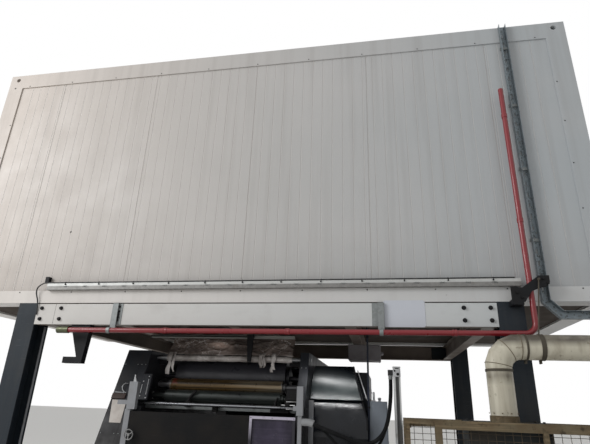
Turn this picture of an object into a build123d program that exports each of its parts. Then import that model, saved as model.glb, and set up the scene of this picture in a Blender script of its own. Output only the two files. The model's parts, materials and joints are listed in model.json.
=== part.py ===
from build123d import *
import math
import os

# Flexographic printing press under a steel platform that carries an insulated cabin.
# Millimetres. X runs along the cabin, Y into the depth, Z up from the floor.
# X = 0 and Y = 0 are the cabin's centre lines.

# Cabin
cabin_length = 6055
cabin_depth = 2990
cabin_height = 2717
cabin_underside = 2400
trim_width = 180
bottom_rail_height = 118
floor_thickness = 100
roof_thickness = 80
roof_recess = 20
wall_thickness = 60
wall_set_back = 12
rib_pitch = 100
rib_groove_width = 7
rib_groove_depth = 3
panel_width = 1139
panel_joint_width = 10
panel_joint_depth = 6
lift_hole_radius = 25
lift_hole_depth = 90
lift_hole_inset = 100
lift_hole_drop = 63

# Platform steel
platform_centre_x = 68
column_spacing = 4275
column_size = 200
column_flange = 15
column_web = 9
base_plate_size = 320
base_plate_thickness = 25
anchor_spacing = 240
anchor_hole_radius = 11
cap_plate_thickness = 12
beam_height = 187
beam_gap = 10
beam_flange_width = 75
beam_flange = 11
beam_web = 9
cleat_length = 240
cleat_height = 150
cleat_thickness = 12
end_beam_width = 100
joist_pitch = 1035
joist_middle_x = -90
joist_width = 90
joist_flange = 8
joist_web = 6

# Services on the front
pipe_radius = 21
pipe_stand_off = 75
pipe_drop = 60
pipe_left_x = -1541
pipe_riser_offset = 82
pipe_top = 4337
pipe_bend_radius = 80
pipe_fitting_length = 110
pipe_fitting_radius = 29
hanger_places = ((-1144, -8), (1184, 22))
hanger_plate_width = 100
hanger_plate_thickness = 5
hanger_strut_width = 50
hanger_strut = 22
hanger_collar = 6
hanger_collar_length = 30
tray_depth = 50
tray_height = 60
tray_sheet = 3
tray_left_x = -1890
tray_right_x = 2300
tray_slot_length = 42
tray_slot_height = 12
tray_slot_pitch = 200
riser_slot_pitch = 100
tray_cable_radius = 6
tray_cable_overhang = 45
tray_cable_drop = ((-105, -33, 140), (-110, -25, 90), (-76, -13, 0), (-72, -6, -110))
conduit_radius = 10
riser_width = 60
riser_inset = 597.5
riser_foot_z = 2395
riser_bend_reach = 130
riser_bend_z = 2290
riser_end_inset = 17.5
gusset_thickness = 12
gusset_foot = ((-8, 97), (-8, -45), (85, -24))
gusset_head = ((-81, 59), (-13, 86), (23, 91), (55, 129), (55, 180), (-19, 180), (-148, 87))
gusset_foot_inset = 10
gusset_spacer_height = 42
gusset_foot_drop = 3

# Extraction duct and its guard
duct_radius = 88
duct_x = 2015
duct_z = 2025
duct_stand_off = 225
duct_end_margin = 12
elbow_radius = 155
elbow_cuts = 4
duct_collar_radius = 94
duct_collar_height = 40
duct_end_flange_radius = 125
duct_end_flange_thickness = 16
clamp_thickness = 4
clamp_widths = (14, 30)
clamp_xs = (2200, 2298)
low_clamp_width = 16
duct_rod_radius = 5
duct_rod_eye = 16
duct_rod_offset = -25
duct_rod_rise = 150
guard_left_x = 1344
guard_right_x = 2700
guard_stand_off = 405
guard_top = 1527
guard_rail_height = 55
guard_rail_depth = 40
guard_post = 45
guard_sill_z = 90
guard_main_post_x = 1535
guard_thin_post_x = 2200
guard_thin_post = 30
guard_thin_rail = 28
fan_box_width = 520
fan_box_inset = 20
mesh_pitch = 110
mesh_wire = 6

# Press frame
frame_left_x = -1110
frame_right_x = 460
frame_thickness = 80
frame_top_rise = 310
frame_top_y = -940
knee_z = 1210
knee_y = -1280
base_height = 110
base_front_y = -1320
operator_housing_width = 170
drive_housing_width = 520
drive_housing_rise = 170
drive_housing_front_y = -560
hood_front_y = -905
hood_shoulder_rise = -400
hood_seam_y = -835
hood_seam_rise = -87
hood_seam_gap = 6
hood_lip_y = -880
hood_top_y = -610
hood_top_rise = 220
hood_round = 42
hood_lower_round = 14
hood_side_gap = 8
hood_top_right_x = 930
hood_lean_rise = -250
tie_radius = 38
low_tie_y = 1000
low_tie_z = 420
middle_tie_z = 1300
top_tie_rise = 230

# Print deck at the top front. Rises, also the frame's and hoods', start at the plate cylinder's axis.
deck_y = -800
plate_drop = 670
plate_radius = 60
roll_face = 1120
roll_collar_length = 26
journal_radius = 25
running_gap = 0.05
nip_gap = 12
rear_roll_count = 3
impression_radius = 170
impression_angle = 22
anilox_radius = 55
anilox_angle = -128
guide_radius = 15
guide_journal_radius = 10
film_journal_radius = 15
guide_y = -1020
guide_rise = -174
film_roll_radius = 21
film_roll_y = -800
film_roll_rise = 254
film_face = 1380
film_wrap_radius = 32
film_wrap_length = 1280
film_wrap_gap = 5
film_sheet_thickness = 4
chamber_angle = -94
chamber_width = 84
chamber_depth = 58
chamber_gap = 6
chamber_slope = 16
block_size = 106
block_length = 46
film_sheet_top_y = -640

# Front of the press
left_block_inset = 24
left_block_width = 78
left_rod_inset = 10
left_rod_width = 48
right_block_inset = 40
right_block_width = 53
right_rod_inset = 51
right_rod_width = 32
post_depth = 46
post_rod_depth = 36
post_block_low_z = 1505
post_block_high_z = 1731
post_arm_height = 36
post_arm_inset = 10
post_front_gap = 4
panel_thickness = 30
panel_top_z = 1490
panel_side_gap = 8
window_width = 340
window_height = 420
window_frame_bar = 22
window_frame_proud = 10
wheel_radius = 45
wheel_ring_radius = 6
wheel_hub_radius = 12
wheel_inset = 29
wheel_z = 1305
wheel_stand_off = 38
wheel_spindle_radius = 7
wheel_spoke_width = 6
wheel_spoke_height = 8
wheel_spoke_count = 3
wheel_ring_sides = 6
pane_recess = 8
pane_thickness = 8

# Pieces beside and above the press
cabinet_width = 175
cabinet_front_y = -800
cabinet_depth = 420
cabinet_top = 1640
support_post_x = 1320
support_post_y = -1100
support_post_width = 60
support_post_top = 1920
support_slot = 10
support_foot = 160
support_foot_thickness = 12
junction_box = (345, 260, 158)
junction_box_offset = 68
air_pipe_radius = 9
seat_gap = 0.3
neck_radius = 29
neck_bend_radius = 150
neck_turn = 22
neck_z = 1458
neck_reach = 40
neck_sides = 12
hose_sides = 8
wide_hose_radius = 16
slim_hose_radius = 11
arc_share = 0.45
hose_clip = 44
hose_clip_drop = 50
film_hanger_width = 66
film_hanger_depth = 24
film_hanger_gap = 12
film_hanger_offset = 30
film_hanger_rise = 225
film_hanger_tip = 32
film_rail_left_x = -1150
film_rail_right_x = 360
film_rail_y = -750
film_rail_depth = 30
film_rail_height = 28
bracket_top_x = (-1589, -1392)
bracket_foot_x = (-1608, -1422)
bracket_waist_x = -1480
bracket_height = 337
bracket_foot_height = 54
bracket_set_back = 12
bracket_depth = 60

# How far a cutting shape reaches past the faces that it cuts
cut_over = 1

# Worked out from the sizes above
half_length = cabin_length / 2
half_depth = cabin_depth / 2
cabin_top = cabin_underside + cabin_height
front_y = -half_depth
column_y = half_depth - column_size / 2
column_left_x = platform_centre_x - column_spacing / 2
column_right_x = platform_centre_x + column_spacing / 2
beam_top = cabin_underside - beam_gap
beam_bottom = beam_top - beam_height
beam_left_x = column_left_x + column_size / 2
beam_right_x = column_right_x - column_size / 2
pipe_y = front_y - pipe_stand_off
pipe_z = beam_bottom - pipe_drop
riser_left_x = half_length - riser_inset
riser_bend_x = riser_left_x + riser_bend_reach
riser_end_x = half_length - riser_end_inset
pipe_riser_x = riser_left_x - pipe_riser_offset
inner_left_x = frame_left_x + frame_thickness
inner_right_x = frame_right_x
press_centre_x = (inner_left_x + inner_right_x) / 2
press_left_x = frame_left_x - operator_housing_width
press_right_x = frame_right_x + frame_thickness + drive_housing_width
left_block_x = inner_left_x + left_block_inset
left_rod_x = inner_left_x + left_rod_inset
right_block_x = frame_right_x + right_block_inset
right_rod_x = frame_right_x + right_rod_inset
plate_z = cabin_underside - plate_drop
frame_top = plate_z + frame_top_rise
drive_housing_top = plate_z + drive_housing_rise
hood_shoulder_z = plate_z + hood_shoulder_rise
hood_seam_z = plate_z + hood_seam_rise
hood_top_z = plate_z + hood_top_rise
hood_lean_z = plate_z + hood_lean_rise
guide_z = plate_z + guide_rise
film_roll_z = plate_z + film_roll_rise
film_hanger_low_z = plate_z + film_hanger_rise
middle_tie_zs = (middle_tie_z, plate_z + top_tie_rise)
lean = (frame_top_y - knee_y) / (frame_top - knee_z)


# Hose routes from the goose neck down in a slack loop and up to the clip on the support post
wide_hose_route = [
    (639.7, -1314.5, 1446.9), (721.3, -1314.5, 1413.9), (812, -1310, 1386), (905, -1301, 1354),
    (981.8, -1288, 1315.5), (1063.7, -1270, 1312.5), (1140.1, -1246, 1342.2), (1198.6, -1216, 1399.7),
    (1234.5, -1180, 1487.7), (1256, -1146, 1610), (1268, -1113, 1735), (1268, -1113, 1847.6),
]
slim_hose_route = [
    (639.7, -1284.5, 1446.9), (697.2, -1284.5, 1423.6), (756, -1283, 1371), (832, -1277, 1296),
    (915, -1267, 1243), (1005, -1252, 1222), (1093, -1236, 1243), (1160, -1216, 1310), (1209, -1183, 1408),
    (1241, -1141, 1520), (1262, -1108, 1640), (1268, -1084, 1745), (1268, -1084, 1847.6),
]


def front_edge_y(z):
    """Y of the frame's sloping front edge at height z."""
    return knee_y if z < knee_z else knee_y + lean * (z - knee_z)


def span(x0, x1, y0, y1, z0, z1):
    """Box between two corners."""
    centre = Pos((x0 + x1) / 2, (y0 + y1) / 2, (z0 + z1) / 2)
    return centre * Box(abs(x1 - x0), abs(y1 - y0), abs(z1 - z0))


def rod_x(x0, x1, y, z, radius):
    """Round bar along X."""
    return Pos((x0 + x1) / 2, y, z) * Rot(0, 90, 0) * Cylinder(radius, abs(x1 - x0))


def rod_y(x, y0, y1, z, radius):
    """Round bar along Y."""
    return Pos(x, (y0 + y1) / 2, z) * Rot(90, 0, 0) * Cylinder(radius, abs(y1 - y0))


def rod_z(x, y, z0, z1, radius):
    """Round bar along Z."""
    return Pos(x, y, (z0 + z1) / 2) * Cylinder(radius, abs(z1 - z0))


def plate_yz(points, x0, x1):
    """Plate between x0 and x1 with its outline given as (y, z) points."""
    outline = Polyline(*[(y, z) for y, z in points], close=True)
    return Pos(x0, 0, 0) * extrude(Plane.YZ * make_face(outline), x1 - x0)


def plate_xz(points, y0, y1):
    """Plate between y0 and y1 with its outline given as (x, z) points."""
    outline = Polyline(*[(x, z) for x, z in points], close=True)
    return Pos(0, y1, 0) * extrude(Plane.XZ * make_face(outline), y1 - y0)


def save(name, *solids):
    """Write one node, made of solids that don't touch."""
    part = solids[0] if len(solids) == 1 else Compound(children=list(solids))
    part.label = name
    export_step(part, f"parts/{name}.step")


def cabin_wall(length, height):
    """Wall panel with its ribbed outer face towards -Y, standing on Z = 0 with that face at Y = 0."""
    face = Pos(0, wall_thickness / 2) * Rectangle(length, wall_thickness)
    rib_count = int(length / rib_pitch) - 1
    joints_each_side = int((length / 2 - panel_joint_width) / panel_width)
    joints = [i * panel_width for i in range(-joints_each_side, joints_each_side + 1)]
    grooves = Sketch()
    for i in range(rib_count):
        x = (i - (rib_count - 1) / 2) * rib_pitch
        if all(abs(x - joint) > panel_joint_width for joint in joints):
            grooves += Pos(x, 0) * Rectangle(rib_groove_width, 2 * rib_groove_depth)
    for x in joints:
        grooves += Pos(x, 0) * Rectangle(panel_joint_width, 2 * panel_joint_depth)
    return extrude(face - grooves, height)


def make_cabin():
    inner_x = half_length - trim_width
    inner_y = half_depth - trim_width
    rail_top = cabin_underside + bottom_rail_height
    header_bottom = cabin_top - trim_width
    wall_height = header_bottom - rail_top

    posts = []
    for sx in (-1, 1):
        for sy in (-1, 1):
            post = span(sx * inner_x, sx * half_length, sy * inner_y, sy * half_depth,
                        cabin_underside, cabin_top)
            hole_x = sx * (half_length - lift_hole_inset)
            hole_z = cabin_top - lift_hole_drop
            hole_end = half_depth - lift_hole_depth
            post -= rod_y(hole_x, sy * hole_end, sy * half_depth, hole_z, lift_hole_radius)
            posts.append(post)
    save("corner_posts", *posts)

    def rails(z0, z1):
        long_rails = [span(-inner_x, inner_x, s * inner_y, s * half_depth, z0, z1) for s in (-1, 1)]
        end_rails = [span(s * inner_x, s * half_length, -inner_y, inner_y, z0, z1) for s in (-1, 1)]
        return long_rails + end_rails

    save("bottom_rails", *rails(cabin_underside, rail_top))
    save("top_rails", *rails(header_bottom, cabin_top))
    floor_bottom = rail_top - floor_thickness
    save("cabin_floor", span(-inner_x, inner_x, -inner_y, inner_y, floor_bottom, rail_top))
    roof_top = cabin_top - roof_recess
    save("cabin_roof", span(-inner_x, inner_x, -inner_y, inner_y, roof_top - roof_thickness, roof_top))

    long_wall = cabin_wall(2 * inner_x, wall_height)
    end_wall = cabin_wall(2 * inner_y, wall_height)
    save("wall_front", Pos(0, front_y + wall_set_back, rail_top) * long_wall)
    save("wall_rear", Pos(0, half_depth - wall_set_back, rail_top) * Rot(0, 0, 180) * long_wall)
    save("end_walls",
         Pos(-half_length + wall_set_back, 0, rail_top) * Rot(0, 0, -90) * end_wall,
         Pos(half_length - wall_set_back, 0, rail_top) * Rot(0, 0, 90) * end_wall)


def h_section(size_x, size_y, flange, web, height):
    """H-section on Z = 0 with its flanges facing +Y and -Y."""
    outline = Rectangle(size_x, size_y)
    recess = Rectangle((size_x - web) / 2, size_y - 2 * flange)
    for side in (-1, 1):
        outline -= Pos(side * (size_x + web) / 4, 0) * recess
    return extrude(outline, height)


def column(x, side_y):
    """Column on its anchored base plate, with the cleat for the long beam."""
    inward = 1 if x < platform_centre_x else -1
    y = side_y * column_y
    shaft_top = cabin_underside - cap_plate_thickness
    shaft = h_section(column_size, column_size, column_flange, column_web, shaft_top - base_plate_thickness)
    base = Pos(0, 0, base_plate_thickness / 2) * Box(base_plate_size, base_plate_size, base_plate_thickness)
    for hole in GridLocations(anchor_spacing, anchor_spacing, 2, 2):
        base -= hole * Cylinder(anchor_hole_radius, 2 * base_plate_thickness)
    cap = Pos(0, 0, shaft_top + cap_plate_thickness / 2) * Box(column_size, column_size, cap_plate_thickness)
    piece = Pos(x, y, 0) * (base + Pos(0, 0, base_plate_thickness) * shaft + cap)
    cleat_outer = side_y * (half_depth - beam_web)
    cleat_inner = side_y * (half_depth - beam_web - cleat_thickness)
    cleat_low = (beam_top + beam_bottom - cleat_height) / 2
    cleat_end = x + inward * (column_size / 2 + cleat_length)
    return piece + span(x, cleat_end, cleat_inner, cleat_outer, cleat_low, cleat_low + cleat_height)


def channel_beam(side_y):
    """Long channel between two columns, its smooth web outwards."""
    outer = side_y * half_depth
    web_inner = side_y * (half_depth - beam_web)
    toe = side_y * (half_depth - beam_flange_width)
    beam = span(beam_left_x, beam_right_x, web_inner, outer, beam_bottom, beam_top)
    beam += span(beam_left_x, beam_right_x, toe, web_inner, beam_bottom, beam_bottom + beam_flange)
    beam += span(beam_left_x, beam_right_x, toe, web_inner, beam_top - beam_flange, beam_top)
    return beam


def i_beam_y(x, width, y0, y1, z0, z1, flange, web):
    """I-section along Y."""
    beam = span(x - web / 2, x + web / 2, y0, y1, z0, z1)
    beam += span(x - width / 2, x + width / 2, y0, y1, z0, z0 + flange)
    beam += span(x - width / 2, x + width / 2, y0, y1, z1 - flange, z1)
    return beam


def make_platform():
    save("columns", *[column(x, side_y) for side_y in (-1, 1) for x in (column_left_x, column_right_x)])
    save("long_beams", channel_beam(-1), channel_beam(1))
    joist_bottom = beam_bottom + beam_flange
    joist_top = beam_top - beam_flange
    # The end beams lie between the long beams, against the columns' inner sides and the cleats.
    end_y = half_depth - beam_web - cleat_thickness
    end_beam_xs = (beam_left_x + end_beam_width / 2, beam_right_x - end_beam_width / 2)
    end_beams = [i_beam_y(x, end_beam_width, -end_y, end_y, joist_bottom, joist_top, beam_flange, beam_web)
                 for x in end_beam_xs]
    save("end_beams", *end_beams)
    joist_y = half_depth - beam_web
    joist_xs = [joist_middle_x + i * joist_pitch for i in (-1, 0, 1)]
    joists = [i_beam_y(x, joist_width, -joist_y, joist_y, joist_bottom, joist_top, joist_flange, joist_web)
              for x in joist_xs]
    save("joists", *joists)


def make_service_pipe():
    start = (pipe_left_x, pipe_y, pipe_z)
    corner_a = (pipe_riser_x - pipe_bend_radius, pipe_y, pipe_z)
    corner_b = (pipe_riser_x, pipe_y, pipe_z + pipe_bend_radius)
    end = (pipe_riser_x, pipe_y, pipe_top)
    run = rod_x(pipe_left_x, corner_a[0], pipe_y, pipe_z, pipe_radius)
    bend_path = TangentArc(corner_a, corner_b, tangent=(1, 0, 0))
    bend = sweep(Plane(origin=corner_a, z_dir=(1, 0, 0)) * Circle(pipe_radius), path=bend_path)
    riser = rod_z(pipe_riser_x, pipe_y, corner_b[2], end[2], pipe_radius)
    fitting = rod_x(start[0] - pipe_fitting_length, start[0], pipe_y, pipe_z, pipe_fitting_radius)
    save("service_pipe", run + bend + riser)
    save("pipe_end_fitting", fitting)


def make_pipe_hangers():
    hangers = []
    for x, strut_offset in hanger_places:
        plate_y = front_y - hanger_plate_thickness
        plate = span(x - hanger_plate_width / 2, x + hanger_plate_width / 2, plate_y, front_y,
                     beam_bottom, beam_top)
        strut_x = x + strut_offset
        strut_left = strut_x - hanger_strut_width / 2
        strut = span(strut_left, strut_left + hanger_strut_width, plate_y - hanger_strut, plate_y,
                     pipe_z, beam_top)
        collar_left = strut_x - hanger_collar_length / 2
        collar_right = strut_x + hanger_collar_length / 2
        lug = span(collar_left, collar_right, pipe_y, plate_y,
                   pipe_z - hanger_strut / 2, pipe_z + hanger_strut / 2)
        bore_radius = pipe_radius + running_gap
        collar = rod_x(collar_left, collar_right, pipe_y, pipe_z, bore_radius + hanger_collar)
        bore = rod_x(strut_left - cut_over, strut_left + hanger_strut_width + cut_over,
                     pipe_y, pipe_z, bore_radius)
        hangers.append(plate + strut + lug + collar - bore)
    save("pipe_hangers", *hangers)


def slot_positions(length, pitch):
    count = int((length - tray_slot_length) / pitch)
    return [(i - (count - 1) / 2) * pitch for i in range(count)]


def make_cable_trays():
    rail_top = cabin_underside + bottom_rail_height
    wall_face = front_y + wall_set_back
    tray_front = wall_face - tray_depth
    tray = span(tray_left_x, tray_right_x, tray_front, wall_face, rail_top, rail_top + tray_height)
    tray -= span(tray_left_x - cut_over, tray_right_x + cut_over,
                 tray_front + tray_sheet, wall_face - tray_sheet,
                 rail_top + tray_sheet, rail_top + tray_height + cut_over)
    middle = (tray_left_x + tray_right_x) / 2
    slot_z = rail_top + tray_height / 2
    for x in slot_positions(tray_right_x - tray_left_x, tray_slot_pitch):
        tray -= Pos(middle + x, tray_front, slot_z) * Box(tray_slot_length, 3 * tray_sheet, tray_slot_height)
    save("cable_tray", tray)

    # The riser lies against the trim, and turns off to the right under the cabin.
    back = front_y
    middle_x = riser_left_x + riser_width / 2
    path = Polyline((middle_x, cabin_top), (middle_x, riser_foot_z), (riser_bend_x, riser_bend_z),
                    (riser_end_x, riser_bend_z))
    outer = Plane.XZ * make_face(offset_band(path, riser_width / 2))
    inner = Plane.XZ * make_face(offset_band(path, riser_width / 2 - tray_sheet))
    riser = Pos(0, back, 0) * extrude(outer, tray_depth)
    riser -= Pos(0, back - tray_sheet, 0) * extrude(inner, tray_depth)
    straight = cabin_top - riser_foot_z
    for z in slot_positions(straight - riser_width, riser_slot_pitch):
        slot_centre = Pos(middle_x, back, (cabin_top + riser_foot_z) / 2 + z)
        riser -= slot_centre * Box(tray_slot_height, 3 * tray_sheet, tray_slot_length)
    save("cable_riser", riser)


def offset_band(path, half_width):
    """Closed outline at half_width on both sides of a bent line, cut square at its ends."""
    points = [path @ 0] + [v.center() for v in path.vertices()][1:-1] + [path @ 1]
    left = []
    right = []
    for i, point in enumerate(points):
        before = (point - points[i - 1]).normalized() if i > 0 else None
        after = (points[i + 1] - point).normalized() if i < len(points) - 1 else None
        reach = half_width
        if before is None:
            along = after
        elif after is None:
            along = before
        else:
            along = (before + after).normalized()
            reach = half_width / along.dot(after)
        side = Vector(-along.Y, along.X)
        left.append(point + side * reach)
        right.append(point - side * reach)
    return Polyline(*left, *reversed(right), close=True)


def make_clipped_cables():
    """Cable that lies on the tray's front lip and drops at its end, and the conduit on the left column."""
    y = front_y + wall_set_back - tray_depth + tray_sheet / 2
    z = cabin_underside + bottom_rail_height + tray_height + tray_cable_radius
    route = [(tray_right_x - tray_cable_overhang, y, z), (tray_left_x - tray_cable_overhang, y, z)]
    for x_step, y_step, z_step in tray_cable_drop:
        route.append((tray_left_x + x_step, front_y + y_step, cabin_underside + z_step))
    cable, radii, length = cord_tube(route, tray_cable_radius)
    print("clipped_cables arc radii", [round(r) for r in radii], "length", round(length))
    conduit_x = column_left_x + column_size / 2 - conduit_radius
    conduit_y = column_size / 2 - column_flange - conduit_radius - column_y
    conduit = rod_z(conduit_x, conduit_y, base_plate_thickness, beam_bottom, conduit_radius)
    save("clipped_cables", cable, conduit)


def make_corner_arm():
    """Black gusset beside the column head that holds the riser off the steel."""
    back = pipe_y - pipe_radius - running_gap
    front = back - gusset_thickness
    outline = [(column_right_x + x, cabin_underside + z) for x, z in gusset_foot]
    outline += [(riser_left_x + x, cabin_underside + z) for x, z in gusset_head]
    face = Plane.XZ * make_face(Polyline(*outline, close=True))
    plate = Pos(0, back, 0) * extrude(face, gusset_thickness, dir=(0, -1, 0))
    foot_top = cabin_underside - gusset_foot_drop
    foot_left, foot_right = outline[0][0], outline[2][0] - gusset_foot_inset
    foot = span(foot_left, foot_right, front, front_y, foot_top - gusset_spacer_height, foot_top)
    head_right = riser_left_x + max(x for x, _ in gusset_head)
    head_top = cabin_underside + max(z for _, z in gusset_head)
    spacer = span(riser_left_x, head_right, front, front_y - tray_depth,
                  head_top - gusset_spacer_height, head_top)
    save("corner_arm", plate + foot + spacer)


def duct_hanger(clamp_x, duct_y):
    """Rod from an eye on the gusset down to the top of the wide clamp."""
    gusset_front = pipe_y - pipe_radius - running_gap - gusset_thickness
    top = Vector(riser_left_x + duct_rod_offset, gusset_front - duct_rod_eye / 2,
                 cabin_underside + duct_rod_rise)
    low = Vector(clamp_x, duct_y, duct_z + duct_radius + clamp_thickness / 2)
    rod = Plane(top, z_dir=low - top) * Cylinder(duct_rod_radius, (low - top).length,
                                                 align=(Align.CENTER, Align.CENTER, Align.MIN))
    return rod + Pos(*top) * Box(duct_rod_eye, duct_rod_eye, duct_rod_eye)


def make_duct():
    y = front_y - duct_stand_off
    end_x = half_length - duct_end_margin - duct_end_flange_thickness
    foot_z = guard_top + duct_collar_height
    bend_x = duct_x + elbow_radius
    bend_z = duct_z - elbow_radius
    points = [(duct_x, y, foot_z)]
    for i in range(elbow_cuts):
        # Each mitre lies where the tangents of neighbouring segments meet.
        angle = math.radians(90 * (i + 0.5) / elbow_cuts)
        reach = elbow_radius / math.cos(math.radians(45 / elbow_cuts))
        points.append((bend_x - reach * math.cos(angle), y, bend_z + reach * math.sin(angle)))
    points.append((end_x, y, duct_z))
    tube = sweep(Plane(origin=points[0], z_dir=(0, 0, 1)) * Circle(duct_radius), path=Polyline(*points),
                 transition=Transition.RIGHT)
    foot = rod_z(duct_x, y, guard_top, foot_z, duct_collar_radius)
    end = rod_x(end_x, end_x + duct_end_flange_thickness, y, duct_z, duct_end_flange_radius)
    save("exhaust_duct", tube)
    save("duct_flanges", foot, end)
    outer = duct_radius + clamp_thickness
    rings = []
    for x, width in zip(clamp_xs, clamp_widths):
        ring = rod_x(x, x + width, y, duct_z, outer)
        rings.append(ring - rod_x(x - cut_over, x + width + cut_over, y, duct_z, duct_radius))
    # The lower clamp sits where the elbow begins.
    low_z = bend_z - low_clamp_width
    ring = rod_z(duct_x, y, low_z, bend_z, outer)
    rings.append(ring - rod_z(duct_x, y, low_z - cut_over, bend_z + cut_over, duct_radius))
    rings[1] += duct_hanger(clamp_xs[1] + clamp_widths[1] / 2, y)
    save("duct_clamps", *rings)


def mesh_panel(width, height):
    """Welded mesh in the XZ plane, centred on X, from Z = 0 up, its cells cut through a thin sheet."""
    columns = max(1, round(width / mesh_pitch))
    rows = max(1, round(height / mesh_pitch))
    cell_x = (width - (columns + 1) * mesh_wire) / columns
    cell_z = (height - (rows + 1) * mesh_wire) / rows
    face = Rectangle(width, height)
    cells = GridLocations(cell_x + mesh_wire, cell_z + mesh_wire, columns, rows) * Rectangle(cell_x, cell_z)
    sheet = extrude(Plane.XZ * (face - cells), mesh_wire / 2, both=True)
    return Pos(0, 0, height / 2) * sheet


def make_guard():
    y0 = front_y - guard_stand_off
    y1 = front_y
    post_y0 = y0 + guard_post
    post_y1 = y1 - guard_post
    post_x0 = guard_left_x + guard_thin_post
    post_x1 = guard_right_x - guard_post
    rail_z = guard_top - guard_rail_height
    thin_rail_z = guard_top - guard_thin_rail
    sill_top = guard_sill_z + guard_rail_height
    posts = [span(x0, x1, y, y + guard_post, 0, guard_top)
             for x0, x1 in ((guard_left_x, post_x0), (post_x1, guard_right_x)) for y in (y0, post_y1)]
    main_right = guard_main_post_x + guard_post
    thin_right = guard_thin_post_x + guard_thin_post
    posts.append(span(guard_main_post_x, main_right, y0, y0 + guard_post, 0, rail_z))
    posts.append(span(guard_thin_post_x, thin_right, y0, y0 + guard_thin_post, 0, rail_z))
    save("guard_posts", *posts)

    # The front's heavy top rail starts at the main post, and the bay beside it has a thin one.
    front_bays = ((post_x0, guard_main_post_x, thin_rail_z), (main_right, guard_thin_post_x, rail_z),
                  (thin_right, post_x1, rail_z))
    rail_y = y0 + guard_rail_depth
    rails = [span(post_x0, guard_main_post_x, y0, rail_y, thin_rail_z, guard_top),
             span(guard_main_post_x, post_x1, y0, rail_y, rail_z, guard_top)]
    rails += [span(x0, x1, y0, rail_y, guard_sill_z, sill_top) for x0, x1, _ in front_bays]
    for z0, z1 in ((rail_z, guard_top), (guard_sill_z, sill_top)):
        rails.append(span(post_x0, post_x1, y1 - guard_rail_depth, y1, z0, z1))
        for x in (guard_left_x, guard_right_x - guard_rail_depth):
            rails.append(span(x, x + guard_rail_depth, post_y0, post_y1, z0, z1))
    save("guard_rails", *rails)

    inset = guard_rail_depth / 2
    meshes = [Pos((x0 + x1) / 2, y0 + inset, sill_top) * mesh_panel(x1 - x0, top - sill_top)
              for x0, x1, top in front_bays]
    side = mesh_panel(post_y1 - post_y0, rail_z - sill_top)
    for x in (guard_left_x + inset, guard_right_x - inset):
        meshes.append(Pos(x, (post_y0 + post_y1) / 2, sill_top) * Rot(0, 0, 90) * side)
    save("guard_mesh", *meshes)
    box_y0 = y0 + guard_rail_depth + fan_box_inset
    box_y1 = front_y - (base_plate_size - column_size) / 2
    box_left = duct_x - fan_box_width / 2
    save("fan_box", span(box_left, box_left + fan_box_width, box_y0, box_y1, 0, guard_top))


def frame_outline():
    """Outline of a side frame in (y, z), the same front and rear."""
    front = [(knee_y, base_height), (knee_y, knee_z), (frame_top_y, frame_top)]
    rear = [(-y, z) for y, z in reversed(front)]
    return front + rear


def roll_positions():
    """Centres (y, z) of the rolls that run in the side frames' bores."""
    def around(radius_a, radius_b, angle):
        reach = radius_a + radius_b + nip_gap
        turn = math.radians(angle)
        return deck_y + reach * math.cos(turn), plate_z + reach * math.sin(turn)

    return {
        "plate": (deck_y, plate_z),
        "impression": around(plate_radius, impression_radius, impression_angle),
        "anilox": around(plate_radius, anilox_radius, anilox_angle),
        "guide": (guide_y, guide_z),
        "film": (film_roll_y, film_roll_z),
    }


def journal_of(key):
    return {"guide": guide_journal_radius, "film": film_journal_radius}.get(key, journal_radius)


def roll(y, z, radius, face, journal):
    """Roll with stepped ends and journals that reach through both side frames."""
    half = face / 2
    body = rod_x(press_centre_x - half, press_centre_x + half, y, z, radius)
    collar_radius = (radius + journal) / 2
    collar_half = half + roll_collar_length
    body += rod_x(press_centre_x - collar_half, press_centre_x + collar_half, y, z, collar_radius)
    return body + rod_x(frame_left_x, frame_right_x + frame_thickness, y, z, journal)


def make_press_frame():
    outline = frame_outline()
    centres = roll_positions()
    bores = [(*centres[key], journal_of(key) + running_gap) for key in centres]
    bores += [(-y, z, radius) for y, z, radius in bores[:rear_roll_count]]
    for name, x in (("side_frame_left", frame_left_x), ("side_frame_right", frame_right_x)):
        frame = plate_yz(outline, x, x + frame_thickness)
        for y, z, radius in bores:
            frame -= rod_x(x - cut_over, x + frame_thickness + cut_over, y, z, radius)
        save(name, frame)
    base = span(press_left_x, press_right_x, base_front_y, -base_front_y, 0, base_height)
    save("press_base", base)
    tie_places = [(side * low_tie_y, low_tie_z) for side in (-1, 1)] + [(0, z) for z in middle_tie_zs]
    save("cross_ties", *[rod_x(inner_left_x, inner_right_x, y, z, tie_radius) for y, z in tie_places])
    save("operator_housing", plate_yz(outline, press_left_x, frame_left_x))


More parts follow.
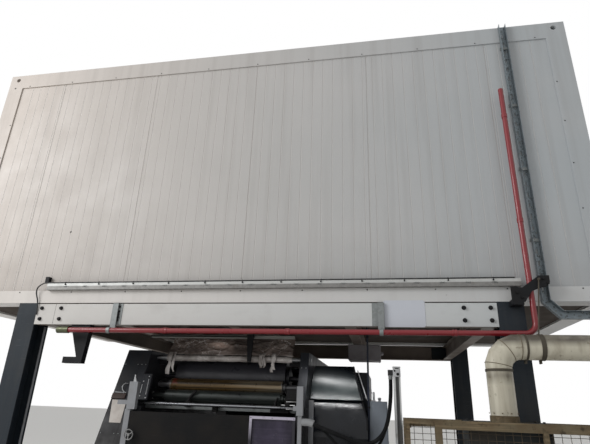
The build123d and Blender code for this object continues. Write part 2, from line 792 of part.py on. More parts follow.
def make_deck():
    centres = roll_positions()
    sizes = {
        "plate": (plate_radius, roll_face, "plate_cylinder"),
        "impression": (impression_radius, roll_face, "impression_roller"),
        "anilox": (anilox_radius, roll_face, "anilox_roll"),
        "guide": (guide_radius, roll_face, "guide_roller"),
        "film": (film_roll_radius, film_face, "film_roller"),
    }
    for key, (radius, face, name) in sizes.items():
        y, z = centres[key]
        save(name, roll(y, z, radius, face, journal_of(key)))
    rear = []
    for key in list(centres)[:rear_roll_count]:
        y, z = centres[key]
        radius, face, _ = sizes[key]
        rear.append(roll(-y, z, radius, face, journal_of(key)))
    save("rear_plate_cylinder", rear[0])
    save("rear_steel_rolls", *rear[1:])
    chambers = []
    anilox_y, anilox_z = centres["anilox"]
    turn = math.radians(chamber_angle)
    reach = anilox_radius + chamber_gap
    half = chamber_width / 2
    profile = [(reach, chamber_slope - half), (reach, half - chamber_slope), (reach + chamber_slope, half),
               (reach + chamber_depth, half), (reach + chamber_depth, -half), (reach + chamber_slope, -half)]
    points = [(anilox_y + r * math.cos(turn) - t * math.sin(turn),
               anilox_z + r * math.sin(turn) + t * math.cos(turn)) for r, t in profile]
    for side in (1, -1):
        chambers.append(plate_yz([(side * y, z) for y, z in points], inner_left_x, inner_right_x))
    save("doctor_chambers", *chambers)
    blocks = []
    for side in (1, -1):
        for x in (inner_left_x + block_length / 2, inner_right_x - block_length / 2):
            places = [Pos(x, side * centres[key][0], centres[key][1]) for key in ("plate", "anilox")]
            pair = Part() + [place * Box(block_length, block_size, block_size) for place in places]
            bore = Rot(0, 90, 0) * Cylinder(journal_radius + running_gap, block_length + 2 * cut_over)
            blocks.append(pair - [place * bore for place in places])
    save("bearing_blocks", *blocks)
    film_y, film_z = centres["film"]
    wrap_half = film_wrap_length / 2
    wrap = rod_x(press_centre_x - wrap_half, press_centre_x + wrap_half, film_y, film_z, film_wrap_radius)
    wrap -= rod_x(inner_left_x, inner_right_x, film_y, film_z, film_roll_radius)
    save("film_wrap", wrap)
    joist_bottom = beam_bottom + beam_flange
    low_z = film_z + film_wrap_radius + film_wrap_gap
    sheet = [(film_y, low_z), (film_y + film_sheet_thickness, low_z),
             (film_sheet_top_y + film_sheet_thickness, joist_bottom), (film_sheet_top_y, joist_bottom)]
    save("film_web", plate_yz(sheet, press_centre_x - wrap_half, press_centre_x + wrap_half))
    rail_front = film_rail_y - film_rail_depth / 2
    save("film_rail", span(film_rail_left_x, film_rail_right_x, rail_front, rail_front + film_rail_depth,
                           joist_bottom - film_rail_height, joist_bottom))


def door_post(frame_x, block_x, block_width, rod_x0, rod_width):
    """Latch block on its rod, with the arm and bar that tie it to the frame's front edge."""
    back = knee_y - post_front_gap
    rod_front = back - post_rod_depth
    rod_x1 = rod_x0 + rod_width
    block_x1 = block_x + block_width
    post = span(block_x, block_x1, back - post_depth, back, post_block_low_z, post_block_high_z)
    post += span(rod_x0, rod_x1, rod_front, back, base_height, post_block_low_z)
    post += span(rod_x0, rod_x1, rod_front, knee_y, base_height, base_height + post_rod_depth)
    low_z = post_block_low_z + post_arm_height
    high_z = low_z + post_arm_height
    arm_x0 = frame_x + post_arm_inset
    arm_x1 = frame_x + frame_thickness - post_arm_inset
    outline = [(back, low_z), (front_edge_y(low_z), low_z), (front_edge_y(high_z), high_z), (back, high_z)]
    post += plate_yz(outline, arm_x0, arm_x1)
    return post + span(min(arm_x0, block_x), max(arm_x1, block_x1), rod_front, back, low_z, high_z)


def make_press_front():
    save("door_posts",
         door_post(frame_left_x, left_block_x, left_block_width, left_rod_x, left_rod_width),
         door_post(frame_right_x, right_block_x, right_block_width, right_rod_x, right_rod_width))
    panel_back = knee_y - post_front_gap
    panel_front = panel_back - panel_thickness
    x0 = left_rod_x + left_rod_width + panel_side_gap
    x1 = right_block_x - panel_side_gap
    panel = span(x0, x1, panel_front, panel_back, base_height, panel_top_z)
    win_x1 = x1 - window_frame_bar
    win_x0 = win_x1 - window_width
    win_z1 = panel_top_z - window_frame_bar
    win_z0 = win_z1 - window_height
    panel -= span(win_x0, win_x1, panel_front - cut_over, panel_back + cut_over, win_z0, win_z1)
    wheel_x = x0 + wheel_inset
    spindle_hole = wheel_spindle_radius + running_gap
    panel -= rod_y(wheel_x, panel_front - cut_over, panel_back + cut_over, wheel_z, spindle_hole)
    save("front_panel", panel)
    frame_y = panel_front - window_frame_proud
    bars = span(win_x0 - window_frame_bar, win_x1 + window_frame_bar, frame_y, panel_front,
                win_z0 - window_frame_bar, win_z1 + window_frame_bar)
    bars -= span(win_x0, win_x1, frame_y - cut_over, panel_front + cut_over, win_z0, win_z1)
    save("window_frame", bars)
    pane_y = panel_front + pane_recess
    save("window_pane", span(win_x0, win_x1, pane_y, pane_y + pane_thickness, win_z0, win_z1))
    save("rear_panel", span(x0, x1, -panel_back, -panel_front, base_height, panel_top_z))
    ring_y = panel_front - wheel_stand_off
    section = Pos(wheel_radius - wheel_ring_radius, 0) * RegularPolygon(wheel_ring_radius, wheel_ring_sides)
    ring = Pos(wheel_x, ring_y, wheel_z) * Rot(90, 0, 0) * revolve(Plane.XZ * section, Axis.Z)
    hub = rod_y(wheel_x, ring_y - wheel_ring_radius, panel_front - wheel_ring_radius, wheel_z,
                wheel_hub_radius)
    spindle = rod_y(wheel_x, ring_y, panel_back, wheel_z, wheel_spindle_radius)
    wheel = ring + hub + spindle
    spoke_length = wheel_radius - wheel_ring_radius
    spoke = Pos(spoke_length / 2, 0, 0) * Box(spoke_length, wheel_spoke_width, wheel_spoke_height)
    for i in range(wheel_spoke_count):
        angle = 90 + 360 * i / wheel_spoke_count
        wheel += Pos(wheel_x, ring_y, wheel_z) * Rot(0, angle, 0) * spoke
    save("handwheel", wheel)


def hood(edge, front_arc):
    """Cover filled back to the housing's front: straight edges through the (y, z) points, then the arc."""
    outline = make_face([Polyline(*edge), front_arc])
    x0 = frame_right_x + frame_thickness + hood_side_gap
    solid = Pos(x0, 0, 0) * extrude(Plane.YZ * outline, press_right_x - x0)
    lean_run = press_right_x - hood_top_right_x
    lean_rise = hood_top_z - hood_lean_z
    beyond = lean_run / lean_rise * lean_run
    cutter = [(press_right_x, hood_lean_z), (hood_top_right_x, hood_top_z),
              (hood_top_right_x, hood_top_z + beyond), (press_right_x + cut_over, hood_top_z + beyond),
              (press_right_x + cut_over, hood_lean_z)]
    return solid - plate_xz(cutter, 2 * hood_front_y, 0)


def bulged_arc(start, end, bulge):
    """Arc between two (y, z) points that stands out by bulge from the line between them."""
    mid_y = (start[0] + end[0]) / 2
    mid_z = (start[1] + end[1]) / 2
    run = math.hypot(end[0] - start[0], end[1] - start[1])
    out_y = -(end[1] - start[1]) / run
    out_z = (end[0] - start[0]) / run
    return ThreePointArc(start, (mid_y + out_y * bulge, mid_z + out_z * bulge), end)


def make_drive_side():
    x0 = frame_right_x + frame_thickness
    x1 = press_right_x
    save("drive_housing", span(x0, x1, drive_housing_front_y, -drive_housing_front_y,
                               base_height, drive_housing_top))
    back = drive_housing_front_y
    seam = (hood_seam_y, hood_seam_z - hood_seam_gap)
    shoulder = (hood_front_y, hood_shoulder_z)
    lower_edge = [seam, (back, seam[1]), (back, base_height), (hood_front_y, base_height), shoulder]
    save("drive_hood_lower", hood(lower_edge, bulged_arc(shoulder, seam, hood_lower_round)))
    lip = (hood_lip_y, hood_seam_z)
    top = (hood_top_y, hood_top_z)
    upper_edge = [top, (back, hood_top_z), (back, hood_seam_z), lip]
    save("drive_hood_upper", hood(upper_edge, bulged_arc(lip, top, hood_round)))


def make_beside():
    cabinet_y1 = cabinet_front_y + cabinet_depth
    cabinet_x1 = press_right_x + cabinet_width
    save("control_cabinet", span(press_right_x, cabinet_x1, cabinet_front_y, cabinet_y1, 0, cabinet_top))
    floor_bottom = cabin_underside + bottom_rail_height - floor_thickness
    pipe_x = press_right_x + air_pipe_radius + seat_gap
    air_pipe_y = cabinet_front_y - air_pipe_radius - seat_gap
    save("air_pipe", rod_z(pipe_x, air_pipe_y, 0, floor_bottom, air_pipe_radius))
    profile = Rectangle(support_post_width, support_post_width)
    for angle in (0, 90, 180, 270):
        slot = Pos(support_post_width / 2 - support_slot / 2, 0) * Rectangle(support_slot, support_slot)
        profile -= Rot(0, 0, angle) * slot
    post = Pos(0, 0, support_foot_thickness) * extrude(profile, support_post_top - support_foot_thickness)
    post += Pos(0, 0, support_foot_thickness / 2) * Box(support_foot, support_foot, support_foot_thickness)
    clip_x = -support_post_width / 2 - hose_clip / 2
    post += Pos(clip_x, 0, support_post_top - hose_clip_drop) * Box(hose_clip, support_post_width, hose_clip)
    save("support_post", Pos(support_post_x, support_post_y, 0) * post)
    joist_bottom = beam_bottom + beam_flange
    size_x, size_y, size_z = junction_box
    box_left = joist_middle_x + joist_pitch + junction_box_offset - size_x / 2
    save("junction_box", span(box_left, box_left + size_x, -size_y / 2, size_y / 2,
                              joist_bottom - size_z, joist_bottom))


def make_black_hangers():
    joist_bottom = beam_bottom + beam_flange
    x = joist_middle_x + film_hanger_offset
    half_top = film_hanger_width / 2
    half_tip = film_hanger_tip / 2
    outline = [(x - half_top, joist_bottom), (x + half_top, joist_bottom),
               (x + half_tip, film_hanger_low_z), (x - half_tip, film_hanger_low_z)]
    hanger_y = film_roll_y - film_wrap_radius - film_hanger_gap
    film_hanger = plate_xz(outline, hanger_y - film_hanger_depth, hanger_y)
    low_z = beam_bottom - bracket_height
    foot_z = low_z + bracket_foot_height
    outline = [(bracket_top_x[0], beam_bottom), (bracket_top_x[1], beam_bottom), (bracket_foot_x[1], low_z),
               (bracket_foot_x[0], low_z), (bracket_foot_x[0], foot_z), (bracket_waist_x, foot_z)]
    bracket_y = front_y + bracket_set_back
    save("black_hangers", film_hanger, plate_xz(outline, bracket_y, bracket_y + bracket_depth))


def neck_points():
    """Start, start of the bend and end of the goose neck."""
    y = knee_y - post_front_gap - post_rod_depth / 2
    turn = math.radians(neck_turn)
    start = Vector(right_rod_x + right_rod_width, y, neck_z)
    bend = start + Vector(neck_reach, 0, 0)
    end = bend + Vector(neck_bend_radius * math.sin(turn), 0, -neck_bend_radius * (1 - math.cos(turn)))
    return start, bend, end


def cord_tube(points, radius):
    """Tube along straight runs joined by tangent arcs, and the radii of those arcs."""
    corners = [Vector(*p) for p in points]
    radii = []
    for a, b, c in zip(corners, corners[1:], corners[2:]):
        shorter = min((b - a).length, (c - b).length)
        half_turn = math.radians((b - a).get_angle(c - b)) / 2
        radii.append(arc_share * shorter / math.tan(half_turn))
    path = FilletPolyline(*corners, radius=radii)
    start = Plane(origin=corners[0], z_dir=corners[1] - corners[0])
    tube = sweep(start * RegularPolygon(radius, hose_sides), path=path)
    return tube, radii, path.length


def make_hoses():
    start, bend, end = neck_points()
    neck_path = [Line(start, bend), TangentArc(bend, end, tangent=(1, 0, 0))]
    neck_end = Plane(origin=start, z_dir=(1, 0, 0)) * RegularPolygon(neck_radius, neck_sides)
    save("goose_neck", sweep(neck_end, path=Wire([edge.edge() for edge in neck_path])))
    for name, route, radius in (("wide_hose", wide_hose_route, wide_hose_radius),
                                ("slim_hose", slim_hose_route, slim_hose_radius)):
        tube, radii, length = cord_tube(route, radius)
        print(name, "arc radii", [round(r) for r in radii], "length", round(length))
        save(name, tube)


def main():
    os.makedirs("parts", exist_ok=True)
    make_cabin()
    make_platform()
    make_service_pipe()
    make_pipe_hangers()
    make_cable_trays()
    make_clipped_cables()
    make_corner_arm()
    make_duct()
    make_guard()
    make_press_frame()
    make_deck()
    make_press_front()
    make_drive_side()
    make_beside()
    make_black_hangers()
    make_hoses()


main()
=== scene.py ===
import json
import math
import random
from itertools import product
import bmesh
import bpy
from mathutils import Euler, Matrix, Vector, noise


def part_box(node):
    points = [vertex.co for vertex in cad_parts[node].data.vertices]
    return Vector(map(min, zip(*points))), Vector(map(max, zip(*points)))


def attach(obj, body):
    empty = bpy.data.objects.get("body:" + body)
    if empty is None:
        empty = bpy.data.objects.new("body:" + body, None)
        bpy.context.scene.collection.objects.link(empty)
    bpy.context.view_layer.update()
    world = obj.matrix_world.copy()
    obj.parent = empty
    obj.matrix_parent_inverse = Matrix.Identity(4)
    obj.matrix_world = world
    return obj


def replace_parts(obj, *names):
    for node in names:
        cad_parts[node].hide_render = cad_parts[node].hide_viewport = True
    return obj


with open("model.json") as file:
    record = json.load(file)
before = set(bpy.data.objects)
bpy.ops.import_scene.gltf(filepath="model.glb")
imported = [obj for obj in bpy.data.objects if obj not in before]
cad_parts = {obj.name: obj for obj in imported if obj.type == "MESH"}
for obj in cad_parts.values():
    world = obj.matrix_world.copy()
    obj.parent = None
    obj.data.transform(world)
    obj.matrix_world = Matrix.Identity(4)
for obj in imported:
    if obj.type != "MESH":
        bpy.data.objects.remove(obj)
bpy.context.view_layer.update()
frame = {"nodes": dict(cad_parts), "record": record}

# Camera: the photograph's place, height, direction and field of view
camera_place = (1.218, -5.376, 1.6)
camera_turn_degrees = (111.206, -1.914, 10.23)
camera_lens_mm = 28.49
camera_sensor_mm = 36

# Light
sky_strength = 0.48
key_place, key_target = (-7.5, -7.0, 6.5), (0, 0, 3.2)
key_watts, key_width, key_height = 575, 5, 4
# Place, target, watts, width, height and spread of the small lamps that the glossy hoods reflect
hood_lamps = (
    ((0.754, -0.9, 2.19), (0.79, -0.8, 1.8), 0.45, 0.44, 0.1, 80),
    ((0.7, -1.3, 1.99), (0.79, -0.85, 1.6), 0.32, 0.5, 0.03, 60),
)
floor_colour = (240, 239, 236)
floor_reach = 60

# Hose routes, the same points as in the CAD source
wide_hose_radius = 0.016
slim_hose_radius = 0.011
wide_hose_route = [
    (0.6397, -1.3145, 1.4469), (0.7213, -1.3145, 1.4139), (0.812, -1.31, 1.386), (0.905, -1.301, 1.354),
    (0.9818, -1.288, 1.3155), (1.0637, -1.27, 1.3125), (1.1401, -1.246, 1.3422), (1.1986, -1.216, 1.3997),
    (1.2345, -1.18, 1.4877), (1.256, -1.146, 1.61), (1.268, -1.113, 1.735), (1.268, -1.113, 1.8476),
]
slim_hose_route = [
    (0.6397, -1.2845, 1.4469), (0.6972, -1.2845, 1.4236), (0.756, -1.283, 1.371), (0.832, -1.277, 1.296),
    (0.915, -1.267, 1.243), (1.005, -1.252, 1.222), (1.093, -1.236, 1.243), (1.16, -1.216, 1.31),
    (1.209, -1.183, 1.408), (1.241, -1.141, 1.52), (1.262, -1.108, 1.64), (1.268, -1.084, 1.745),
    (1.268, -1.084, 1.8476),
]

# Directions
to_left, to_right = (-1, 0, 0), (1, 0, 0)
to_front, to_rear = (0, -1, 0), (0, 1, 0)
upward, downward = (0, 0, 1), (0, 0, -1)


def lowest(node, axis):
    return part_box(node)[0]["XYZ".index(axis)]


def highest(node, axis):
    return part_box(node)[1]["XYZ".index(axis)]


# Faces of the frame's pieces that small parts sit on
rail_top = highest("bottom_rails", "Z")
beam_face = highest("long_beams", "Y")
wall_face, end_wall_face = -lowest("wall_front", "Y"), highest("end_walls", "X")
wall_end, wall_side = highest("wall_front", "X"), highest("end_walls", "Y")
arm_front = round(lowest("corner_arm", "Y"), 3)
machine_left = lowest("operator_housing", "X")
drive_right, drive_rear = highest("drive_housing", "X"), highest("drive_housing", "Y")
panel_face, rear_panel_face = lowest("front_panel", "Y"), highest("rear_panel", "Y")
window_face = lowest("window_frame", "Y")
cabinet_face, cabinet_right = lowest("control_cabinet", "Y"), highest("control_cabinet", "X")
box_face, box_bottom = lowest("junction_box", "Y"), lowest("junction_box", "Z")
guard_foot = lowest("guard_mesh", "Z")

# The side frames' leaning front edge, from its knee to its top
knee_y, knee_z = -1.28, 1.21
lean_top_y, lean_top_z = -0.94, 2.04
lean = (lean_top_y - knee_y) / (lean_top_z - knee_z)
lean_out = Vector((0, -1, lean)).normalized()

# Fronts of the drive hoods: centre y, centre z and radius of each arc, and the height where they meet
upper_hood_arc = (-0.3875, 1.4823, 0.518)
lower_hood_arc = (-0.01356, 1.2885, 0.8924)
hood_split = 1.643

# Rolls of the print deck that small parts sit on
plate_y, plate_z, plate_radius = -0.8, 1.73, 0.06
film_roll_y, film_roll_z = -0.8, 1.984

# Duct: its middle in y, the elbow's centre and bend, and the duct's radius
duct_y, bend_x, bend_z = -1.72, 2.17, 1.87
bend_radius, duct_radius = 0.155, 0.088
leg_x, level_z = bend_x - bend_radius, bend_z + bend_radius

# Film: its ends along the roll, where it leaves the roll and where it hangs, its width and thickness
film_left, film_right = lowest("film_web", "X"), highest("film_web", "X")
film_low, film_high = Vector((0, -0.799, 2.022)), Vector((0, -0.638, 2.2135))
film_thickness = 0.0004

# Screen colours, from 0 to 255, of what gathers on most surfaces
dust = (95, 85, 72)
grime = (58, 52, 46)

# Every finish by its name: the record's slots, and those of single nodes and pieces
finishes = {}


def rgb(colour):
    """Linear colour from 0 to 255 screen values."""
    shares = [value / 255 for value in colour]
    return (*[s / 12.92 if s <= 0.04045 else ((s + 0.055) / 1.055) ** 2.4 for s in shares], 1.0)


def scaled(colour, factor):
    """Linear colour of a screen colour that is made lighter or darker."""
    return (*[min(value * factor, 1) for value in rgb(colour)[:3]], 1.0)


class Nodes:
    """Shader nodes of one tree."""

    def __init__(self, tree):
        self.tree = tree

    def add(self, kind, inputs=None, **settings):
        made = self.tree.nodes.new("ShaderNode" + kind)
        for key, value in settings.items():
            setattr(made, key, value)
        for key, value in (inputs or {}).items():
            self.put(made.inputs[key], value)
        return made

    def put(self, socket, value):
        if isinstance(value, bpy.types.NodeSocket):
            self.tree.links.new(value, socket)
        else:
            socket.default_value = value

    def between(self, value, low, high, to_low=0.0, to_high=1.0):
        inputs = {"Value": value, "From Min": low, "From Max": high, "To Min": to_low, "To Max": to_high}
        return self.add("MapRange", inputs, clamp=True).outputs["Result"]

    def maths(self, operation, first, second=0.0):
        made = self.add("Math", operation=operation)
        self.put(made.inputs[0], first)
        self.put(made.inputs[1], second)
        return made.outputs["Value"]

    def both(self, first, second):
        return self.maths("MULTIPLY", first, second)

    def either(self, first, second):
        return self.maths("MAXIMUM", first, second)


class Graph(Nodes):
    """A material whose colour is laid up in layers. Places are metres in the part's own frame."""

    def __init__(self, name, base):
        material = bpy.data.materials.new(name)
        material.use_nodes = True
        finishes[name] = material
        super().__init__(material.node_tree)
        self.shader = self.tree.nodes["Principled BSDF"]
        self.place = self.add("TexCoord").outputs["Object"]
        self.skin = rgb(base)

    def set(self, **values):
        for key, value in values.items():
            self.put(self.shader.inputs[key.replace("_", " ")], value)

    def noise(self, scale, stretch=(1, 1, 1), detail=3.0, rough=0.55):
        place = self.add("Mapping", {"Vector": self.place, "Scale": stretch}).outputs["Vector"]
        inputs = {"Vector": place, "Scale": scale, "Detail": detail, "Roughness": rough}
        return self.add("TexNoise", inputs).outputs["Fac"]

    def patches(self, scale, low, high, share=1.0, stretch=(1, 1, 1), detail=3.0, rough=0.55):
        """Blotches: nothing where the noise is under low, the whole share where it is over high."""
        return self.between(self.noise(scale, stretch, detail, rough), low, high, 0.0, share)

    def cells(self, scale, output="Distance"):
        return self.add("TexVoronoi", {"Vector": self.place, "Scale": scale}).outputs[output]

    def part(self, axis):
        return self.add("SeparateXYZ", {"Vector": self.place}).outputs[axis]

    def along(self, axis, start, end, share=1.0):
        """Nothing at start, growing to the whole share at end."""
        return self.between(self.part(axis), start, end, 0.0, share)

    def away(self, value, middle=0.0):
        """Distance of a value to either side of a middle."""
        return self.maths("ABSOLUTE", self.maths("SUBTRACT", value, middle))

    def band(self, axis, low, high, soft=0.01):
        """1 between two places on an axis, 0 outside them."""
        return self.both(self.along(axis, low - soft, low + soft), self.along(axis, high + soft, high - soft))

    def mix(self, share, first, second):
        made = self.add("Mix", data_type="RGBA")
        for socket, value in (("Factor", share), ("A", first), ("B", second)):
            self.put(made.inputs[socket], value)
        return made.outputs["Result"]

    def lay(self, share, colour):
        """Covers a share of the skin with a screen colour."""
        self.skin = self.mix(share, self.skin, rgb(colour))

    def stain(self, colour, *measures, **settings):
        """Lays a screen colour in patches."""
        self.lay(self.patches(*measures, **settings), colour)

    def bump(self, height, distance):
        made = self.add("Bump", {"Height": height, "Distance": distance})
        self.set(Normal=made.outputs["Normal"])

    def cover(self, rough, patch_scale, specular=0.5, metal=0.0, coat=0.0):
        """Colour, and a roughness that varies in patches."""
        uneven = self.between(self.noise(patch_scale), 0.3, 0.7, max(rough - 0.1, 0.03), min(rough + 0.12, 1))
        self.set(Base_Color=self.skin, Metallic=metal, Coat_Weight=coat, Specular_IOR_Level=specular,
                 Roughness=uneven)

    def finish(self, rough, patch_scale, grain, grain_scale, *look, **settings):
        """The cover, and a fine uneven skin."""
        self.cover(rough, patch_scale, *look, **settings)
        self.bump(self.noise(grain_scale, detail=2), grain)


def paint(name, colour, rough, specular=0.5, dirt=(dust, 0.25, 2.5), streak=0.0, scratch=None,
          grain=(0.0004, 90), metal=0.0, coat=0.0, fade=None):
    """Paint with uneven dirt, streaks that run down, fine scratches and a fade up or down.

    Dirt is its colour, share and scale, scratch its share and colour, grain its height and scale, and fade
    its start, its end and the other colour.
    """
    graph = Graph(name, colour)
    dirt_colour, dirt_share, dirt_scale = dirt
    graph.stain(dirt_colour, dirt_scale, 0.45, 0.75, dirt_share, detail=6)
    if streak:
        graph.stain(dirt_colour, 1, 0.5, 0.72, streak, (14, 14, 0.5), 4)
    if scratch:
        graph.stain(scratch[1], 1, 0.62, 0.7, scratch[0], (9, 9, 120), 5, 0.7)
    if fade:
        graph.lay(graph.along("Z", *fade[:2]), fade[2])
    graph.finish(rough, dirt_scale * 2, *grain, specular, metal, coat)


def cabin_paint():
    """Off-white panels stained low down, with faint runs and dark specks, and painted light across them."""
    graph = Graph("cabin_white", (188, 179, 171))
    # Painted light: warm and lighter at the left, turning cooler and darker to the right.
    graph.lay(graph.along("X", -2.8, 2.6), (174, 179, 182))
    graph.stain((206, 201, 198), 0.7, 0.42, 0.75, 0.25, detail=5)
    graph.stain((126, 120, 114), 1, 0.48, 0.75, 0.2, (11, 11, 0.35), 5)
    # Painted light: the bottom rail, below the wall, is laid lighter.
    graph.lay(graph.along("Z", rail_top + 0.001, rail_top - 0.001, 0.3), (236, 234, 231))
    low = graph.both(graph.along("Z", 3.1, 2.5, 0.3), graph.along("Z", rail_top - 0.001, rail_top + 0.001))
    graph.lay(graph.both(low, graph.noise(2, (1, 1, 2.5), 6)), (118, 112, 108))
    # Painted light in the wall grooves to lift their shade, strongest at the left.
    x, y = (graph.away(graph.part(axis)) for axis in "XY")
    front_groove = graph.between(y, wall_face - 0.0002, wall_face - 0.0012)
    end_groove = graph.between(x, end_wall_face + 0.0003, end_wall_face - 0.0007)
    in_front = graph.both(front_groove, graph.between(x, wall_end + 0.0125, wall_end - 0.0075))
    in_ends = graph.both(end_groove, graph.between(y, wall_side + 0.015, wall_side - 0.005))
    lighter = graph.between(graph.part("X"), -2.8, 1.2, 1.0, 0.42)
    graph.lay(graph.both(graph.either(in_front, in_ends), lighter), (232, 229, 226))
    chosen = graph.patches(0.9, 0.53, 0.56, detail=2)
    graph.lay(graph.both(graph.between(graph.cells(3.1), 0.045, 0.03), chosen), grime)
    graph.finish(0.45, 2.4, 0.0003, 60, 0.35)


def beam_paint():
    """White on the outward face; the brown-grey on what faces under the platform is dust and painted shade.
    """
    # The base brown-grey, left on all but the outward face, is dust and painted shade.
    graph = Graph("beam_white", (125, 114, 106))
    graph.stain(grime, 2.2, 0.4, 0.75, 0.5, detail=6)
    outward = graph.between(graph.away(graph.part("Y")), beam_face - 0.003, beam_face - 0.001)
    # Painted tint of the light: the white turns from warm at the left to cool at the right.
    white = graph.mix(graph.along("X", -1.9, 2.1), rgb((198, 195, 191)), rgb((196, 200, 201)))
    graph.skin = graph.mix(outward, graph.skin, white)
    graph.stain((118, 110, 102), 1, 0.52, 0.8, 0.16, (5, 5, 9), 5)
    graph.finish(0.5, 3.6, 0.0003, 70, 0.3)


def zinc(name, colour, punched=0.0, highlight_from=None):
    """Zinc crystals under a bloom of dust, and on some a punched pattern or a painted highlight on the lip.
    """
    graph = Graph(name, colour)
    crystals = graph.add("SeparateColor", {"Color": graph.cells(45, "Color")}).outputs["Red"]
    graph.skin = graph.mix(graph.between(crystals, 0, 1, 0.0, 0.6), graph.skin, scaled(colour, 1.4))
    graph.stain(dust, 9, 0.58, 0.78, 0.35, detail=6)
    if punched:
        spots = graph.cells(42)
        graph.lay(graph.between(spots, 0.34, 0.28, 0.0, punched), (52, 55, 57))
        graph.lay(graph.between(spots, 0.16, 0.1, 0.0, punched), (206, 208, 206))
    # Painted highlight: the band along the upper lip is laid brighter.
    if highlight_from:
        graph.lay(graph.along("Z", highlight_from, highlight_from + 0.003, 0.6), (208, 210, 208))
    graph.finish(0.45, 16, 0.0002, 120, 0.35, metal=0.35)


def duct_paint():
    """Beige duct, darker on top from dust and painted shade, and stained in long runs and at a joint."""
    graph = Graph("duct_paint", (196, 191, 174))
    graph.stain((134, 124, 106), 1, 0.46, 0.7, 0.5, (16, 16, 1.6), 5)
    # Darker on top: dust and painted shade.
    blotch = graph.between(graph.noise(7, detail=7), 0.34, 0.6, 0.55, 1.0)
    graph.lay(graph.both(graph.along("Z", 2.02, 2.07, 0.95), blotch), (72, 66, 57))
    joint = graph.both(graph.band("Z", 1.79, 1.86, 0.03), graph.noise(18, (1, 1, 0.3), 4))
    graph.lay(joint, (70, 62, 50))
    graph.stain((90, 78, 60), 30, 0.62, 0.7, 0.55, detail=5)
    graph.finish(0.45, 8, 0.0012, 26, 0.4)


def rusty_steel():
    """Steel under brown dust and rust, with pale worn streaks and dark spots."""
    graph = Graph("rusty_steel", (106, 97, 78))
    graph.stain((84, 67, 48), 6, 0.35, 0.65, 0.75, detail=8, rough=0.65)
    graph.stain((150, 132, 104), 1, 0.5, 0.75, 0.6, (3, 60, 60), 5)
    graph.stain((38, 32, 26), 22, 0.58, 0.72, 0.7, detail=6)
    graph.finish(0.75, 10, 0.0015, 40, 0.2)


def gold_roll():
    """Brass-coloured sleeve with painted highlight lines, a red print patch and bare ends."""
    graph = Graph("plate_gold", (46, 37, 24))
    # Painted highlight lines that run along the roll.
    graph.stain((120, 95, 56), 1, 0.4, 0.66, 1.0, (0.6, 70, 70), 5)
    ink = graph.patches(16, 0.4, 0.62, 0.8, detail=5)
    graph.lay(graph.both(graph.band("X", -0.81, -0.77, 0.015), ink), (146, 28, 24))
    streaks = graph.patches(1, 0.35, 0.6, 1.0, (1.5, 40, 40), 4)
    graph.lay(graph.both(graph.along("X", -0.28, 0.05, 0.4), streaks), (170, 164, 148))
    past_ends = graph.either(graph.along("X", 0.272, 0.277), graph.along("X", -0.842, -0.847))
    graph.lay(past_ends, (92, 92, 94))
    graph.finish(0.34, 16, 0.0002, 110, metal=0.45)


def turned_steel(name, colour, rough=0.3, metal=0.85, lines=360, share=0.4):
    """Machined metal with fine rings round X and a film of old oil."""
    graph = Graph(name, colour)
    rings = graph.patches(1, 0.3, 0.7, share, (lines, 3, 3))
    graph.skin = graph.mix(rings, graph.skin, scaled(colour, 0.45))
    graph.stain((48, 42, 36), 5, 0.5, 0.72, 0.45, detail=5)
    graph.finish(rough, 14, 0.00015, 200, metal=metal)


def anilox_surface():
    """Engraved roll: very fine cells in grey-green ceramic, with dried ink."""
    graph = Graph("anilox_grey", (30, 33, 33))
    graph.lay(graph.between(graph.cells(420), 0.1, 0.6), (56, 61, 59))
    graph.stain((20, 22, 24), 1, 0.5, 0.7, 0.6, (5, 16, 16), 5)
    graph.finish(0.35, 14, 0.0001, 300, 0.45, metal=0.3)


def film_surface(name, base, pale, crease, alpha, blush=0.0):
    """Clear crumpled film gone brownish, with painted highlights on creases, and a pinkish middle if it has a
    blush.
    """
    graph = Graph(name, base)
    graph.stain(pale, 5, 0.4, 0.62)
    if blush:
        near = graph.between(graph.away(graph.part("X"), -0.41), 0.17, 0.03)
        spot = graph.both(near, graph.band("Z", 2.08, 2.15, 0.025))
        graph.lay(graph.both(spot, blush), (248, 220, 206))
    swirl = graph.away(graph.noise(7, (1, 1, 1.3), 5, 0.6), 0.5)
    # Painted highlights: bright lines along the creases and small glints.
    crease_highlights = graph.both(graph.between(swirl, 0.01, 0.003), graph.patches(5, 0.46, 0.56, detail=2))
    glint = graph.patches(26, 0.66, 0.71, 0.7, (1, 1, 1.5), 6, 0.7)
    graph.lay(graph.either(crease_highlights, glint), crease)
    graph.set(Alpha=alpha)
    graph.finish(0.2, 18, 0.003, 20, 0.6)


def pane_surface():
    """Smoked pane with a purple tint, darker at its right edge, with wiping marks."""
    graph = Graph("pane", (36, 33, 46))
    graph.stain((64, 58, 76), 5, 0.35, 0.7, 1.0, (1, 1, 0.6), 4)
    graph.lay(graph.along("X", 0.36, 0.47, 0.7), (24, 22, 32))
    graph.stain((110, 102, 124), 1, 0.55, 0.75, 0.15, (5, 5, 60), 4)
    graph.finish(0.2, 12, 0.0001, 60, 0.3)


def window_frame_paint():
    """Lilac-white top rail and a left stile that is dark towards its foot."""
    graph = Graph("window_frame_paint", (40, 38, 46))
    left = graph.both(graph.along("X", 0.134, 0.128), graph.along("Z", 1.3, 1.46))
    graph.lay(graph.either(graph.along("Z", 1.466, 1.47), left), (178, 173, 188))
    graph.stain((78, 74, 80), 30, 0.52, 0.7, 0.35, detail=5)
    graph.finish(0.4, 16, 0.0003, 90, 0.35)


def cables_paint():
    """Black cable along the tray, and grey conduit in the column."""
    graph = Graph("cables_paint", (30, 31, 33))
    graph.lay(graph.along("Y", -1.46, -1.44), (128, 130, 134))
    graph.stain((92, 90, 86), 14, 0.5, 0.72, 0.4, detail=6)
    graph.finish(0.5, 20, 0.0003, 120, 0.4)


